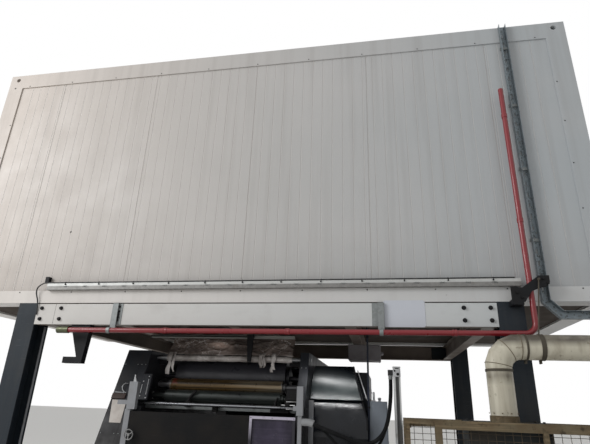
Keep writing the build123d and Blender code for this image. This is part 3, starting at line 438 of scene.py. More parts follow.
def post_profile_metal():
    """Drawn aluminium with painted highlights along its sides, dull in its slots, with a black clip at its
    left.
    """
    graph = Graph("post_profile_metal", (78, 80, 80))
    # Painted highlights: the left edge and part of the right edge are laid bright.
    right_edge_highlight = graph.both(graph.along("X", 1.336, 1.339), graph.along("Z", 1.45, 1.56))
    edge_highlights = graph.either(graph.along("X", 1.309, 1.306), right_edge_highlight)
    graph.lay(edge_highlights, (214, 216, 216))
    graph.lay(graph.both(graph.along("X", 1.2895, 1.2885), graph.along("Z", 1.5, 1.6)), (22, 23, 25))
    drawn = graph.patches(1, 0.4, 0.7, 0.45, (160, 160, 1.5), 4)
    graph.lay(graph.maths("SUBTRACT", drawn, edge_highlights), (64, 66, 66))
    graph.stain(dust, 11, 0.52, 0.72, 0.5, detail=6)
    graph.finish(0.42, 14, 0.0002, 150, 0.4)


def hose_rubber():
    """Ribbed black hose with grey scuffs."""
    rib_pitch = 0.011
    graph = Graph("hose_black", (11, 12, 14))
    graph.stain((50, 52, 54), 14, 0.52, 0.72, 0.45, detail=6)
    graph.cover(0.6, 20, 0.2)
    place = graph.maths("ADD", graph.part("X"), graph.part("Z"))
    graph.bump(graph.maths("SINE", graph.both(place, 2 * math.pi / rib_pitch)), 0.0012)


def make_finishes():
    for make in (cabin_paint, beam_paint, duct_paint, rusty_steel, gold_roll, anilox_surface, pane_surface,
                 window_frame_paint, cables_paint, post_profile_metal, hose_rubber):
        make()
    paint("floor_board", (74, 66, 60), 0.8, 0.15, (grime, 0.5, 2.5), grain=(0.002, 14))
    paint("column_anthracite", (31, 38, 45), 0.55, 0.25, ((84, 80, 74), 0.3, 2.5), 0.12,
          (0.25, (110, 110, 110)))
    paint("pipe_red", (124, 14, 26), 0.34, dirt=((120, 70, 66), 0.2, 5), coat=0.2)
    paint("fitting_brass", (86, 90, 68), 0.42, dirt=(grime, 0.4, 20), metal=0.6)
    paint("black_steel", (17, 18, 21), 0.6, 0.2, ((60, 54, 48), 0.3, 2.5), scratch=(0.2, (110, 110, 110)))
    paint("mesh_wire", (58, 52, 44), 0.7, 0.2, ((112, 98, 78), 0.6, 9))
    paint("fan_grey", (38, 40, 40), 0.65, 0.2, (dust, 0.5, 2.5))
    paint("frame_black", (42, 44, 49), 0.5, 0.2, ((62, 58, 54), 0.4, 4), scratch=(0.3, (76, 76, 78)),
          fade=(1.65, 1.25, (31, 30, 31)))
    paint("panel_paint", (17, 17, 18), 0.5, 0.12, ((40, 35, 30), 0.5, 4), scratch=(0.3, (60, 58, 56)))
    # Above z 1.8 the upper hood fades to near-black: painted shade.
    paint("hood_gloss", (36, 46, 48), 0.3, 0.6, ((88, 100, 96), 0.35, 2), grain=(0.0002, 20),
          fade=(1.8, 1.88, (13, 18, 22)))
    paint("lower_hood_paint", (14, 17, 22), 0.16, 0.28, ((34, 37, 43), 0.3, 3))
    paint("base_grey", (44, 46, 48), 0.65, 0.2, (dust, 0.6, 2.5))
    paint("impression_dark", (54, 54, 60), 0.35, 0.4, ((22, 22, 26), 0.5, 5))
    paint("post_grey", (134, 136, 140), 0.45, 0.35, (dust, 0.35, 7), scratch=(0.2, (80, 80, 82)))
    paint("cabinet_grey", (124, 131, 140), 0.45, 0.3, (dust, 0.2, 3))
    paint("pipe_blue", (28, 34, 50), 0.45, 0.3)
    paint("box_paint", (150, 146, 150), 0.5, 0.2, (grime, 0.35, 8))
    paint("clamp_paint", (76, 71, 62), 0.6, 0.2, (grime, 0.4, 10))
    paint("rail_paint", (150, 150, 146), 0.5, 0.2, (dust, 0.3, 9))
    paint("neck_paint", (146, 148, 150), 0.4, 0.25, ((96, 96, 96), 0.35, 12))
    paint("bare_paper", (196, 190, 184), 0.8, 0.2, ((140, 126, 116), 0.4, 14))
    paint("bare_card", (196, 200, 208), 0.6, 0.25, ((166, 168, 175), 0.25, 2.5))
    paint("red_bar_paint", (46, 27, 21), 0.5, 0.3, (grime, 0.5, 16))
    paint("pale_paint", (214, 216, 218), 0.4, dirt=((150, 148, 144), 0.35, 14))
    paint("seam_black", (40, 38, 37), 0.8, 0.1, ((84, 80, 76), 0.5, 2.5))
    paint("seam_brown", (112, 103, 86), 0.7, 0.2, (dust, 0.5, 9))
    zinc("galvanised", (122, 126, 126))
    zinc("riser_zinc", (116, 125, 130), punched=0.75)
    # The tray's upper lip gets a painted highlight.
    zinc("tray_zinc", (118, 117, 115), highlight_from=highest("cable_tray", "Z") - 0.027)
    turned_steel("roll_steel", (150, 152, 156))
    turned_steel("aluminium_profile", (150, 152, 154), 0.4, 0.6, 60, 0.15)
    turned_steel("wheel_steel", (150, 150, 150), 0.3, 0.8, 120, 0.2)
    turned_steel("bright_metal", (196, 198, 200), 0.3, 0.5, 80, 0.15)
    film_surface("film_clear", (112, 102, 97), (150, 136, 129), (244, 238, 234), 0.9, 0.95)
    film_surface("wound_film", (152, 145, 141), (220, 214, 210), (236, 232, 230), 1.0)


# Nodes whose finish differs from the rest of their slot
node_finishes = {
    "drive_hood_lower": "lower_hood_paint",
    "front_panel": "panel_paint",
    "junction_box": "box_paint",
    "cable_riser": "riser_zinc",
    "cable_tray": "tray_zinc",
    "window_frame": "window_frame_paint",
    "clipped_cables": "cables_paint",
    "support_post": "post_profile_metal",
    "duct_clamps": "clamp_paint",
    "film_rail": "rail_paint",
    "goose_neck": "neck_paint",
}


def dress_nodes():
    for part in frame["record"]["subparts"]:
        skins = frame["nodes"][part["node"]].data.materials
        skins.clear()
        skins.append(finishes[node_finishes.get(part["node"], part["material_slot"])])


def grid(*rows):
    """Every place where a value from each row meets. A bare number is a row of one."""
    return product(*[row if isinstance(row, (tuple, list)) else (row,) for row in rows])


def spaced(first, step, count):
    return [first + step * i for i in range(count)]


def round_steps(count, shift=0):
    """Cosine and sine of equal steps round a circle, that start a share of a step on."""
    angles = [2 * math.pi * (k + shift) / count for k in range(count)]
    return [(math.cos(a), math.sin(a)) for a in angles]


def linked(name, data):
    made = bpy.data.objects.new(name, data)
    bpy.context.scene.collection.objects.link(made)
    return made


class Kit:
    """Gathers small solids of one finish into one piece after another."""

    def __init__(self):
        self.mesh = bmesh.new()

    def row(self, places):
        return [self.mesh.verts.new(place) for place in places]

    def walls(self, rows, closed=False):
        """Faces between neighbouring rows of corners. Each row may close into a ring."""
        for first, second in zip(rows, rows[1:]):
            for k in range(len(first) - (not closed)):
                m = (k + 1) % len(first)
                self.mesh.faces.new((first[k], first[m], second[m], second[k]))

    def prism(self, outline, offset):
        """Solid between a closed outline and the same outline moved by an offset."""
        near = self.row(outline)
        far = self.row([Vector(place) + Vector(offset) for place in outline])
        self.mesh.faces.new(near)
        self.mesh.faces.new(far[::-1])
        self.walls([near, far], closed=True)

    def plate(self, outline, y, depth):
        """Solid with an outline in x and z."""
        self.prism([(x, y, z) for x, z in outline], (0, depth, 0))

    def block(self, low, high):
        (x0, y0, z0), (x1, y1, z1) = low, high
        self.plate([(x0, z0), (x1, z0), (x1, z1), (x0, z1)], y0, y1 - y0)

    def tube(self, points, radius, sides=10, closed=False):
        """Round section along points, capped at its ends unless the path is closed."""
        path = [Vector(place) for place in points]
        count = len(path)
        radii = radius if isinstance(radius, (list, tuple)) else [radius] * count
        rings = []
        side = None
        for i, place in enumerate(path):
            before = path[i - 1] if i or closed else place
            after = path[(i + 1) % count] if i + 1 < count or closed else place
            along = (after - before).normalized()
            side = along.orthogonal() if side is None else side
            side = (side - along * side.dot(along)).normalized()
            other = along.cross(side)
            corners = [(side * c + other * s) * radii[i] for c, s in round_steps(sides)]
            rings.append(self.row([place + corner for corner in corners]))
        self.walls(rings + rings[:1] if closed else rings, closed=True)
        if not closed:
            self.mesh.faces.new(rings[0][::-1])
            self.mesh.faces.new(rings[-1])

    def turned(self, start, along, steps, sides, size=0.001):
        """Turned piece from steps along an axis and their radii, in millimetres or shares of a size."""
        start, along = Vector(start), Vector(along).normalized()
        self.tube([start + along * reach * size for reach, _ in steps], [r * size for _, r in steps], sides)

    def ring(self, centre, first, second, radius, steps=48):
        """Closed loop through centre + first * cos + second * sin."""
        centre, first, second = Vector(centre), Vector(first), Vector(second)
        self.tube([centre + first * c + second * s for c, s in round_steps(steps)], radius, 6, True)

    def bolt(self, place, out, across):
        """Washer and chamfered hexagon head on a face that looks along out."""
        self.turned(place, out, ((0, 0.68), (0.12, 0.68)), 16, across)
        self.turned(place, out, ((0.12, 0.56), (0.6, 0.56), (0.72, 0.46)), 6, across)

    def screw(self, place, out, width):
        """Low domed head."""
        self.turned(place, out, ((0, 0.5), (0.2, 0.48), (0.36, 0.34), (0.42, 0.14)), 10, width)

    def bolts(self, places, out, across):
        for place in places:
            self.bolt(place, out, across)

    def screws(self, places, out, width):
        for place in places:
            self.screw(place, out, width)

    def piece(self, name, slot, finish=None, body="press", bevel=0.0, solid=True):
        """Makes the piece that rides on a body. Open film keeps its faces turned as they were built."""
        if solid:
            bmesh.ops.recalc_face_normals(self.mesh, faces=self.mesh.faces)
        data = bpy.data.meshes.new(name)
        self.mesh.to_mesh(data)
        self.mesh.free()
        self.mesh = bmesh.new()
        data.materials.append(finishes[finish or slot])
        data.polygons.foreach_set("use_smooth", [True] * len(data.polygons))
        data.set_sharp_from_angle(angle=math.radians(38))
        made = linked(name, data)
        if bevel:
            rounding = made.modifiers.new("rounding", "BEVEL")
            rounding.width = bevel
            rounding.segments = 2
            rounding.limit_method = "ANGLE"
            rounding.angle_limit = math.radians(50)
        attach(made, body)
        return made


kit = Kit()


def on_lean(x, z, out=0.0):
    """Point on the leaning front face, or out from it along its normal."""
    return Vector((x, knee_y + lean * (z - knee_z), z)) + lean_out * out


def lean_plate(corners, start, thickness):
    """Plate on the leaning front, that starts at a distance off its face."""
    kit.prism([on_lean(x, z, start) for x, z in corners], lean_out * thickness)


def hood_y(z):
    """Front surface of the drive hoods at a height."""
    centre_y, centre_z, radius = upper_hood_arc if z >= hood_split else lower_hood_arc
    return centre_y - math.sqrt(radius ** 2 - (z - centre_z) ** 2)


def make_hose(name, node, route, radius):
    curve = bpy.data.curves.new(name, "CURVE")
    curve.dimensions = "3D"
    curve.bevel_depth = radius
    curve.bevel_resolution = 6
    spline = curve.splines.new("NURBS")
    spline.points.add(len(route) - 1)
    for point, place in zip(spline.points, route):
        point.co = (*place, 1.0)
    spline.order_u = 3
    spline.use_endpoint_u = True
    spline.resolution_u = 12
    curve.materials.append(finishes["hose_black"])
    hose = linked(name, curve)
    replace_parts(hose, node)
    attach(hose, "press")


def make_hose_bands():
    """Crimped ferrules where the hoses enter the clip."""
    crimps = ((0, 0.5), (4, 2.5), (14, 2.5), (17, 1.2), (20, 2.5), (30, 2.5), (34, 0.5))
    for route, radius in ((wide_hose_route, wide_hose_radius), (slim_hose_route, slim_hose_radius)):
        before, end = Vector(route[-2]), Vector(route[-1])
        steps = [(reach, radius * 1000 + extra) for reach, extra in crimps]
        kit.turned(end, before - end, steps, 18)
    kit.piece("hose_ferrules", "galvanised")


def make_platform_details():
    for side in (-1, 1):
        places = grid((-1.919, -1.718, 1.856, 2.058), side * beam_face, (2.351, 2.252))
        kit.bolts(places, (0, side, 0), 0.026)
    kit.piece("beam_bolts", "black_steel")

    for side, x in grid((-1, 1), (-1.778, 1.557)):
        inner, outer = side * (beam_face - 0.001), side * (beam_face + 0.0003)
        kit.block((x - 0.0012, inner, 2.2035), (x + 0.0012, outer, 2.3895))
    kit.piece("beam_seams", "black_steel", "seam_black")

    plate_top, half_pattern = 0.025, 0.12
    for x, y, dx, dy in grid((-2.0695, 2.2055), (-1.395, 1.395), (-1, 1), (-1, 1)):
        place = (x + dx * half_pattern, y + dy * half_pattern, plate_top)
        kit.bolt(place, upward, 0.03)
        kit.turned(place, upward, ((-20, 10), (40, 10), (43, 8)), 14)
    kit.piece("anchor_nuts", "galvanised")

    x0, x1, z0, z1, corner = 1.227, 1.557, 2.196, 2.412, 0.012
    outline = [(x0 + corner, z0), (x1 - corner, z0), (x1, z0 + corner), (x1, z1 - corner),
               (x1 - corner, z1), (x0 + corner, z1), (x0, z1 - corner), (x0, z0 + corner)]
    kit.plate(outline, -beam_face - 0.0002, -0.0012)
    kit.piece("bare_card_sheet", "beam_white", "bare_card")


def make_cabin_details():
    for side in (-1, 1):
        rails = grid(spaced(-2.75, 0.55, 11), side * beam_face, (2.502, 4.955))
        posts = grid((-2.865, 2.865), side * beam_face, spaced(2.75, 0.42, 5))
        kit.screws([*rails, *posts], (0, side, 0), 0.011)
    kit.piece("cabin_screws", "cabin_white", "seam_black")

    roof_top, roof_rear = highest("cabin_roof", "Z"), highest("cabin_roof", "Y")
    foot_z, crest_z = roof_top - 0.0005, roof_top + 0.013
    for x in spaced(-2.4, 0.96, 6):
        rib = [(x - 0.03, foot_z), (x + 0.03, foot_z), (x + 0.012, crest_z), (x - 0.012, crest_z)]
        kit.plate(rib, -roof_rear, 2 * roof_rear)
    kit.piece("roof_seams", "cabin_white", bevel=0.002)


def make_tray_details():
    """Clips that hold the cable at the tray's front edge, its gland, and the tray's screws."""
    cable_y, cable_z, reach = -1.5315, 2.5845, 0.0075
    angles = [math.pi * k / 8 for k in range(-1, 10)]
    for x in spaced(-1.7, 0.345, 12):
        arc = [(x, cable_y + reach * math.cos(a), cable_z + reach * math.sin(a)) for a in angles]
        kit.tube([(x, cable_y + 0.011, 2.5775), *arc, (x, cable_y - 0.0085, 2.572)], 0.0015, 6)
        kit.block((x - 0.005, cable_y - 0.01, 2.562), (x + 0.005, cable_y - 0.0015, 2.574))
    gland_x = -1.915
    kit.block((gland_x - 0.019, -1.522, 2.59), (gland_x + 0.019, -1.482, 2.646))
    kit.tube([(gland_x, -1.512, 2.592), (gland_x, -1.522, 2.586), (gland_x, cable_y, 2.586)], 0.008)
    kit.piece("cable_clips", "black_steel", bevel=0.001)

    kit.screws(grid((-1.55, -0.55, 0.45, 1.45, 2.15), -1.4865, 2.548), to_front, 0.018)
    kit.piece("tray_screws", "galvanised")


def make_pipe_details():
    """Couplings and end cap of the service pipe, and the bolts and rods of its hangers."""
    pipe_y, pipe_z, riser_x = -1.57, 2.143, 2.348
    coupling = ((-20, 21), (-18, 25), (-4, 25), (0, 23.5), (4, 25), (18, 25), (20, 21))
    for x in (-0.62, 0.45, 1.76):
        kit.turned((x, pipe_y, pipe_z), to_right, coupling, 20)
    for z in (3.05, 4.05):
        kit.turned((riser_x, pipe_y, z), upward, coupling[:2] + coupling[-2:], 20)
    kit.turned((riser_x, pipe_y, 4.33), upward, ((0, 19), (7, 16)), 20)
    kit.piece("pipe_couplings", "pipe_red", bevel=0.001)

    rod_y = -1.506
    for bolt_x, rod_x in ((-1.124, -1.122), (1.214, 1.206)):
        kit.bolts(grid(bolt_x, -1.5005, (2.362, 2.318)), to_front, 0.016)
        kit.tube([(rod_x, rod_y, 2.33), (rod_x, rod_y, 2.23)], 0.0045, 8)
        kit.tube([(rod_x, rod_y, 2.262), (rod_x, rod_y, 2.272)], 0.01, 6)
    kit.piece("hanger_bolts", "galvanised", "black_steel")


def make_riser_details():
    for x, z in ((2.24, 2.448), (2.272, 2.41), (2.44, 2.555), (2.47, 2.52)):
        kit.bolt((x, arm_front, z), to_front, 0.018)
    kit.piece("gusset_bolts", "black_steel")

    for z in (2.9, 3.55, 4.2, 4.85):
        kit.block((2.418, -1.508, z - 0.014), (2.502, -1.4955, z + 0.014))
        kit.screws(grid((2.4225, 2.4975), -1.508, z), to_front, 0.01)
    kit.piece("riser_brackets", "galvanised", bevel=0.001)


def make_duct_details():
    """Lap seams of the elbow and the two runs, the bolts of both flanges, and the lugs of the clamps."""
    half_cut = math.radians(11.25)
    for i in (0, 2):
        angle = math.radians(90 * (i + 0.5) / 4)
        outward = Vector((-math.cos(angle), 0, math.sin(angle))) / math.cos(half_cut)
        middle = Vector((bend_x, duct_y, bend_z)) + outward * bend_radius
        kit.ring(middle, outward * duct_radius, (0, duct_radius, 0), 0.0028)
    lap, side_y = duct_radius + 0.0005, duct_y + duct_radius
    kit.ring((leg_x, duct_y, bend_z), (lap, 0, 0), (0, lap, 0), 0.003)
    kit.ring((bend_x, duct_y, level_z), (0, lap, 0), (0, 0, lap), 0.003)
    kit.tube([(leg_x, side_y, 1.6), (leg_x, side_y, 1.84)], 0.0022, 6)
    kit.tube([(2.32, side_y, level_z), (2.98, side_y, level_z)], 0.0022, 6)
    kit.piece("duct_seams", "rusty_steel", "seam_brown")

    flange_x, bolt_circle = highest("duct_flanges", "X"), 0.107
    for c, s in round_steps(8, 0.5):
        kit.bolt((flange_x, duct_y + bolt_circle * c, level_z + bolt_circle * s), to_right, 0.013)
    for c, s in round_steps(10):
        out = Vector((c, s, 0))
        kit.screw(Vector((leg_x, duct_y, 1.582)) + out * 0.0935, out, 0.009)
    kit.piece("duct_bolts", "rusty_steel")

    for x in (2.2, 2.298):
        for y in (duct_y - 0.013, duct_y + 0.013):
            kit.block((x - 0.006, y - 0.004, 1.912), (x + 0.006, y + 0.004, 1.94))
        kit.tube([(x, duct_y - 0.025, 1.925), (x, duct_y + 0.025, 1.925)], 0.0035, 8)
    kit.piece("clamp_lugs", "galvanised", "clamp_paint", bevel=0.001)


def weave(corner, along, width, height):
    """Crimped wires that pass over and under each other, from a lower corner."""
    wire, pitch_x, pitch_z, tuck = 0.0019, 0.05, 0.038, 0.006
    corner, along, up = Vector(corner), Vector(along), Vector(upward)
    out = along.cross(up)
    columns, rows = int(width / pitch_x), int(height / pitch_z)
    xs = [width * (i + 0.5) / columns for i in range(columns)]
    zs = [height * (j + 0.5) / rows for j in range(rows)]
    lines = []
    for i, x in enumerate(xs):
        waves = [(x, z, wire * (-1) ** (i + j)) for j, z in enumerate(zs)]
        lines.append([(x, -tuck, 0), *waves, (x, height + tuck, 0)])
    for j, z in enumerate(zs):
        waves = [(x, z, -wire * (-1) ** (i + j)) for i, x in enumerate(xs)]
        lines.append([(-tuck, z, 0), *waves, (width + tuck, z, 0)])
    for line in lines:
        kit.tube([corner + along * a + up * b + out * c for a, b, c in line], wire, 5)


def make_guard_details():
    for x0, x1, top in ((1.374, 1.535, 1.499), (1.58, 2.2, 1.472), (2.23, 2.655, 1.472)):
        weave((x0, -1.88, guard_foot), to_right, x1 - x0, top - guard_foot)
    for x in (1.364, 2.68):
        weave((x, -1.855, guard_foot), to_rear, 0.315, 1.327)
    wire_mesh = kit.piece("guard_wire_mesh", "mesh_wire")
    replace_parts(wire_mesh, "guard_mesh")

    guard_top = highest("guard_posts", "Z")
    kit.screws(grid((1.6, 1.95, 2.3, 2.62), -1.882, guard_top), upward, 0.014)
    for x in (1.4, 1.5, 1.6, 2.18, 2.25, 2.64):
        kit.block((x - 0.01, -1.884, 0.143), (x + 0.01, -1.876, 0.165))
    kit.piece("guard_fixings", "rusty_steel", bevel=0.001)

    kit.bolts(grid((1.79, 2.24), (-1.8, -1.6), highest("fan_box", "Z")), upward, 0.016)
    kit.piece("fan_box_bolts", "fan_grey")


def louvre(face_x, side, y, length, z, height):
    """Pressed hood over a slot, in a cover that looks to the left or the right."""
    kit.plate([(face_x, z), (face_x + side * 0.012, z - 0.004), (face_x, z + height)], y, length)


def make_frame_details():
    """Covers, louvres, screws and fittings on the machine's outer sides."""
    thin = 0.004
    left_x, right_x, rear_y = machine_left - thin, drive_right + thin, drive_rear + thin
    for y0, y1 in ((-1.02, -0.03), (0.03, 1.02)):
        kit.block((left_x, y0, 0.2), (machine_left, y1, 1.14))
        kit.block((left_x, max(y0, -0.86), 1.2), (machine_left, min(y1, 0.86), 1.92))
        for z in spaced(0.32, 0.035, 9):
            louvre(left_x, -1, (y0 + y1) / 2 - 0.22, 0.44, z, 0.02)
    kit.block((drive_right, -0.3, 0.25), (right_x, 0.48, 1.78))
    for z in spaced(1.3, 0.032, 12):
        louvre(right_x, 1, -0.12, 0.42, z, 0.018)
    kit.block((0.62, drive_rear, 0.25), (0.99, rear_y, 1.8))
    kit.piece("side_covers", "frame_black", bevel=0.0015)

    kit.screws(grid(left_x, (-0.98, -0.07, 0.07, 0.98), (0.24, 0.67, 1.1)), to_left, 0.016)
    kit.screws(grid(left_x, (-0.82, -0.07, 0.07, 0.82), (1.24, 1.56, 1.88)), to_left, 0.016)
    kit.screws(grid(right_x, (-0.26, 0.44), (0.29, 0.8, 1.25, 1.74)), to_right, 0.016)
    kit.screws(grid((0.65, 0.96), rear_y, (0.29, 1.0, 1.76)), to_rear, 0.016)
    foot_x, grip_x = machine_left - 0.003, machine_left - 0.032
    for y in (-0.12, 0.12):
        kit.tube([(foot_x, y, 0.66), (grip_x, y, 0.67), (grip_x, y, 0.77), (foot_x, y, 0.78)], 0.006, 8)
    places = grid((-1.26, -1.13, -1.09, -1.05, 0.48, 0.52), (1.3, 1.9))
    kit.screws([on_lean(x, z) for x, z in places], lean_out, 0.01)
    kit.piece("cover_screws", "galvanised")

    kit.screws(grid((-0.94, -0.6, 0.08), panel_face, (0.16, 1.46)), to_front, 0.011)
    kit.screws(grid((-0.94, 0.1, 0.468), rear_panel_face, (0.16, 0.8, 1.46)), to_rear, 0.011)
    kit.screws(grid((0.119, 0.3, 0.481), window_face, (1.037, 1.479)), to_front, 0.007)
    kit.piece("panel_screws", "black_steel")

    foot_y, grip_y = rear_panel_face - 0.001, rear_panel_face + 0.038
    for x in (-0.7, 0.22):
        kit.tube([(x, foot_y, 1.2), (x, grip_y, 1.22), (x, grip_y, 1.32), (x, foot_y, 1.34)], 0.008)
    kit.piece("rear_panel_handles", "wheel_steel")


def make_lean_details():
    """Fittings on the leaning front of the left housing and frame."""
    lean_plate(((-1.263, 1.575), (-1.12, 1.575), (-1.106, 1.385), (-1.216, 1.385)), 0.0002, 0.0014)
    kit.piece("bare_paper_sheet", "post_grey", "bare_paper")

    lean_plate(((-1.278, 1.583), (-1.142, 1.583), (-1.142, 1.63), (-1.278, 1.63)), 0, 0.012)
    kit.piece("red_bar", "black_steel", "red_bar_paint", bevel=0.002)

    handle = ((-1.166, 1.722, -0.002), (-1.18, 1.714, 0.018), (-1.194, 1.7, 0.024), (-1.196, 1.68, 0.024),
              (-1.188, 1.658, 0.018), (-1.174, 1.645, -0.002))
    kit.tube([on_lean(*place) for place in handle], 0.0045, 8)
    blade = ((-0.98, 1.731), (-0.95, 1.731), (-0.962, 1.762), (-0.968, 1.79), (-0.974, 1.79))
    kit.plate(blade, -1.3065, -0.01)
    kit.tube([on_lean(-1.262, 1.64, 0.003), on_lean(-1.152, 1.64, 0.003)], 0.003, 8)
    for ends in (((-0.967, 1.764), (-0.949, 1.628)), ((-1.016, 1.716), (-1.008, 1.637))):
        kit.tube([on_lean(x, z, 0.004) for x, z in ends], 0.0035, 8)
    for x, z in ((-0.972, 1.79), (-0.944, 1.6), (-1.014, 1.745), (-1.006, 1.615)):
        kit.screw(on_lean(x, z, 0.001), lean_out, 0.013)
    kit.piece("left_fittings", "wheel_steel", "bright_metal")

    lean_plate(((-1.031, 1.585), (-0.93, 1.585), (-0.95, 1.815), (-1.031, 1.815)), -0.03, 0.03)
    kit.block((-1.031, -1.098, 1.48), (-0.985, -1.05, 1.53))
    kit.piece("left_linkage_plate", "frame_black", bevel=0.003)

    lean_plate(((-1.0595, 1.943), (-1.0565, 1.943), (-1.0345, 1.81), (-1.0375, 1.81)), 0.0001, 0.0008)
    lean_plate(((-1.1108, 1.23), (-1.1092, 1.23), (-1.1092, 2.03), (-1.1108, 2.03)), 0.0001, 0.0006)
    kit.piece("housing_seams", "frame_black", "seam_black")


def make_deck_details():
    for low, high in (((-0.625, -0.962, 1.535), (-0.57, -0.926, 1.583)),
                      ((-0.349, -0.975, 1.5), (-0.3, -0.94, 1.562)),
                      ((-0.31, -0.965, 1.48), (-0.214, -0.94, 1.514)),
                      ((0.318, -0.76, 1.925), (0.46, -0.752, 2.01)),
                      ((-1.03, -0.76, 1.925), (-0.888, -0.752, 2.01)),
                      ((0.345, -0.99, 1.618), (0.461, -0.945, 1.712)),
                      ((0.2, -0.985, 1.512), (0.372, -0.938, 1.56)),
                      ((0.33, -0.975, 1.545), (0.372, -0.945, 1.64))):
        kit.block(low, high)
    arm = ((-0.6, -0.95, 1.575), (-0.585, -0.952, 1.612), (-0.54, -0.952, 1.668), (-0.524, -0.95, 1.68))
    kit.tube(arm, [0.014, 0.012, 0.012, 0.009])
    kit.tube([(0.24, -0.955, 1.555), (0.24, -0.955, 1.6), (0.262, -0.958, 1.64)], [0.012, 0.012, 0.008])
    kit.piece("deck_clamps", "black_steel", bevel=0.003)

    for z in (1.608, 1.548):
        kit.turned((0.461, -1.088, z), to_left, ((0, 7), (89, 7), (95, 4)), 12)
    for face_x, inward in ((-0.984, to_right), (0.414, to_left)):
        for y, z in ((0.768, 1.765), (0.768, 1.695), (0.9, 1.655), (0.9, 1.6)):
            kit.bolts(grid(face_x, (-y, y), z), inward, 0.012)
    kit.piece("deck_fixings", "wheel_steel")

    for side in (-1, 1):
        kit.screws(grid(spaced(-0.93, 0.16, 9), side * 0.9275, 1.54), (0, side, 0), 0.012)
        kit.block((-1.028, side * 0.9265, 1.5535), (0.458, side * 0.9285, 1.5565))
    kit.piece("chamber_screws", "wheel_steel", "bright_metal")

    for x in (0.268, -0.838):
        kit.ring((x, plate_y, plate_z), (0, plate_radius, 0), (0, 0, plate_radius), 0.0013, 64)
    kit.piece("plate_cylinder_rings", "plate_gold", "bright_metal", "plate_cylinder")


def hood_rim_x(z):
    """Right edge of the hoods, which leans inwards above its bend."""
    start_z, slope = 1.48, 0.13 / 0.47
    return drive_right - max(z - start_z, 0) * slope


def make_hood_details():
    edge = [(hood_rim_x(z) - 0.004, hood_y(z) - 0.002, z) for z in spaced(1.945, -0.0182, 31)]
    kit.tube(edge, 0.008, 8)
    kit.piece("hood_rim", "black_steel")

    strip = ((0.5405, -0.918), (0.5405, -0.932), (0.546, -0.936), (0.58, -0.936), (0.585, -0.932),
             (0.585, -0.918))
    kit.prism([(x, y, 1.15) for x, y in strip], (0, 0, 0.48))
    kit.block((0.5405, -0.92, 1.18), (0.56, -0.9, 1.22))
    kit.block((0.5405, -0.92, 1.56), (0.56, -0.835, 1.6))
    kit.piece("hood_side_strip", "post_grey", bevel=0.0015)

    kit.tube([(0.962, -0.6, 1.912), (0.967, -0.606, 1.906), (1.052, -0.812, 1.66), (1.062, -0.795, 1.645)],
             0.005, 8)
    lamp = ((0, 16), (10, 16), (12, 10.5), (74, 10.5), (83, 6))
    kit.turned((1.1135, -0.7, 1.638), upward, lamp, 16)
    kit.turned((1.165, -0.64, 1.638), upward, ((0, 12), (14, 12), (26, 18), (36, 10)), 14)
    kit.piece("hood_strut_and_lamp", "wheel_steel", "pale_paint")

    kit.screws(grid((0.57, 0.8, 1.02), -0.905, (0.2, 0.7, 1.25)), to_front, 0.014)
    kit.piece("hood_screws", "black_steel")


def make_cabinet_details():
    kit.block((1.07, cabinet_face - 0.003, 0.05), (1.226, cabinet_face, 1.6))
    kit.block((cabinet_right, -0.76, 0.3), (cabinet_right + 0.003, -0.42, 1.3))
    kit.piece("cabinet_door", "cabinet_grey", bevel=0.0015)

    kit.block((1.078, -0.812, 0.92), (1.094, -0.802, 1.06))
    kit.tube([(1.086, -0.811, 0.99), (1.086, -0.824, 0.99)], 0.007, 12)
    kit.block((1.08, -0.828, 0.93), (1.092, -0.82, 1))
    for z in (0.2, 1.44):
        kit.tube([(1.229, -0.804, z), (1.229, -0.804, z + 0.06)], 0.005)
    for z in (0.5, 1.1, 1.58, 2.2):
        kit.block((1.056, -0.821, z), (1.082, -0.7985, z + 0.014))
    kit.piece("cabinet_handle", "black_steel", bevel=0.001)

    lid_y, lid_z = box_face - 0.004, box_bottom - 0.004
    kit.block((0.846, lid_y, 2.062), (1.18, box_face, 2.208))
    kit.block((0.846, -0.12, lid_z), (1.18, 0.12, box_bottom))
    for y in (-0.07, 0, 0.07):
        kit.turned((1.184, y, 2.135), to_right, ((0, 16), (10, 16), (11, 12), (26, 12), (30, 8)), 6)
    kit.piece("junction_box_lid", "cabinet_grey", "box_paint", bevel=0.0015)

    kit.screws(grid((0.858, 1.168), lid_y, (2.074, 2.196)), to_front, 0.01)
    kit.screws(grid((0.858, 1.168), (-0.105, 0.105), lid_z), downward, 0.01)
    kit.piece("junction_box_screws", "wheel_steel")


def make_post_details():
    kit.block((1.287, -1.133, 1.91), (1.353, -1.067, 1.9199))
    kit.block((1.288, -1.1345, 1.836), (1.352, -1.13, 1.902))
    kit.piece("post_cap", "aluminium_profile", "bright_metal", bevel=0.002)

    kit.bolt((1.329, -1.1345, 1.858), to_front, 0.018)
    kit.bolt((1.304, -1.1345, 1.884), to_front, 0.012)
    kit.bolts(grid((1.265, 1.375), (-1.155, -1.045), 0.012), upward, 0.018)
    kit.piece("post_bolts", "black_steel")


def film_crease(x, v, scale, seed):
    value = noise.noise(Vector((x * scale, v * scale * 0.45, seed)))
    return 1 - min(abs(value) * 2.6, 1)


def film_place(x, v):
    """Point of the crumpled film, v being 0 at the roll and 1 at the joists, where it is held."""
    held = min(1, v / 0.14 + 0.05, (1 - v) / 0.1 + 0.04)
    fold = sum(height * film_crease(x, v, scale, seed)
               for height, scale, seed in ((0.016, 5.0, 1.7), (0.006, 15.0, 8.1), (0.0012, 41.0, 4.4)))
    sag = 0.006 * noise.noise(Vector((x * 2.5, v, 12.3)))
    rise = film_high - film_low
    out = Vector((0, -rise.z, rise.y)).normalized()
    return Vector((x, 0, 0)) + film_low.lerp(film_high, v) + out * (held * (fold + sag))


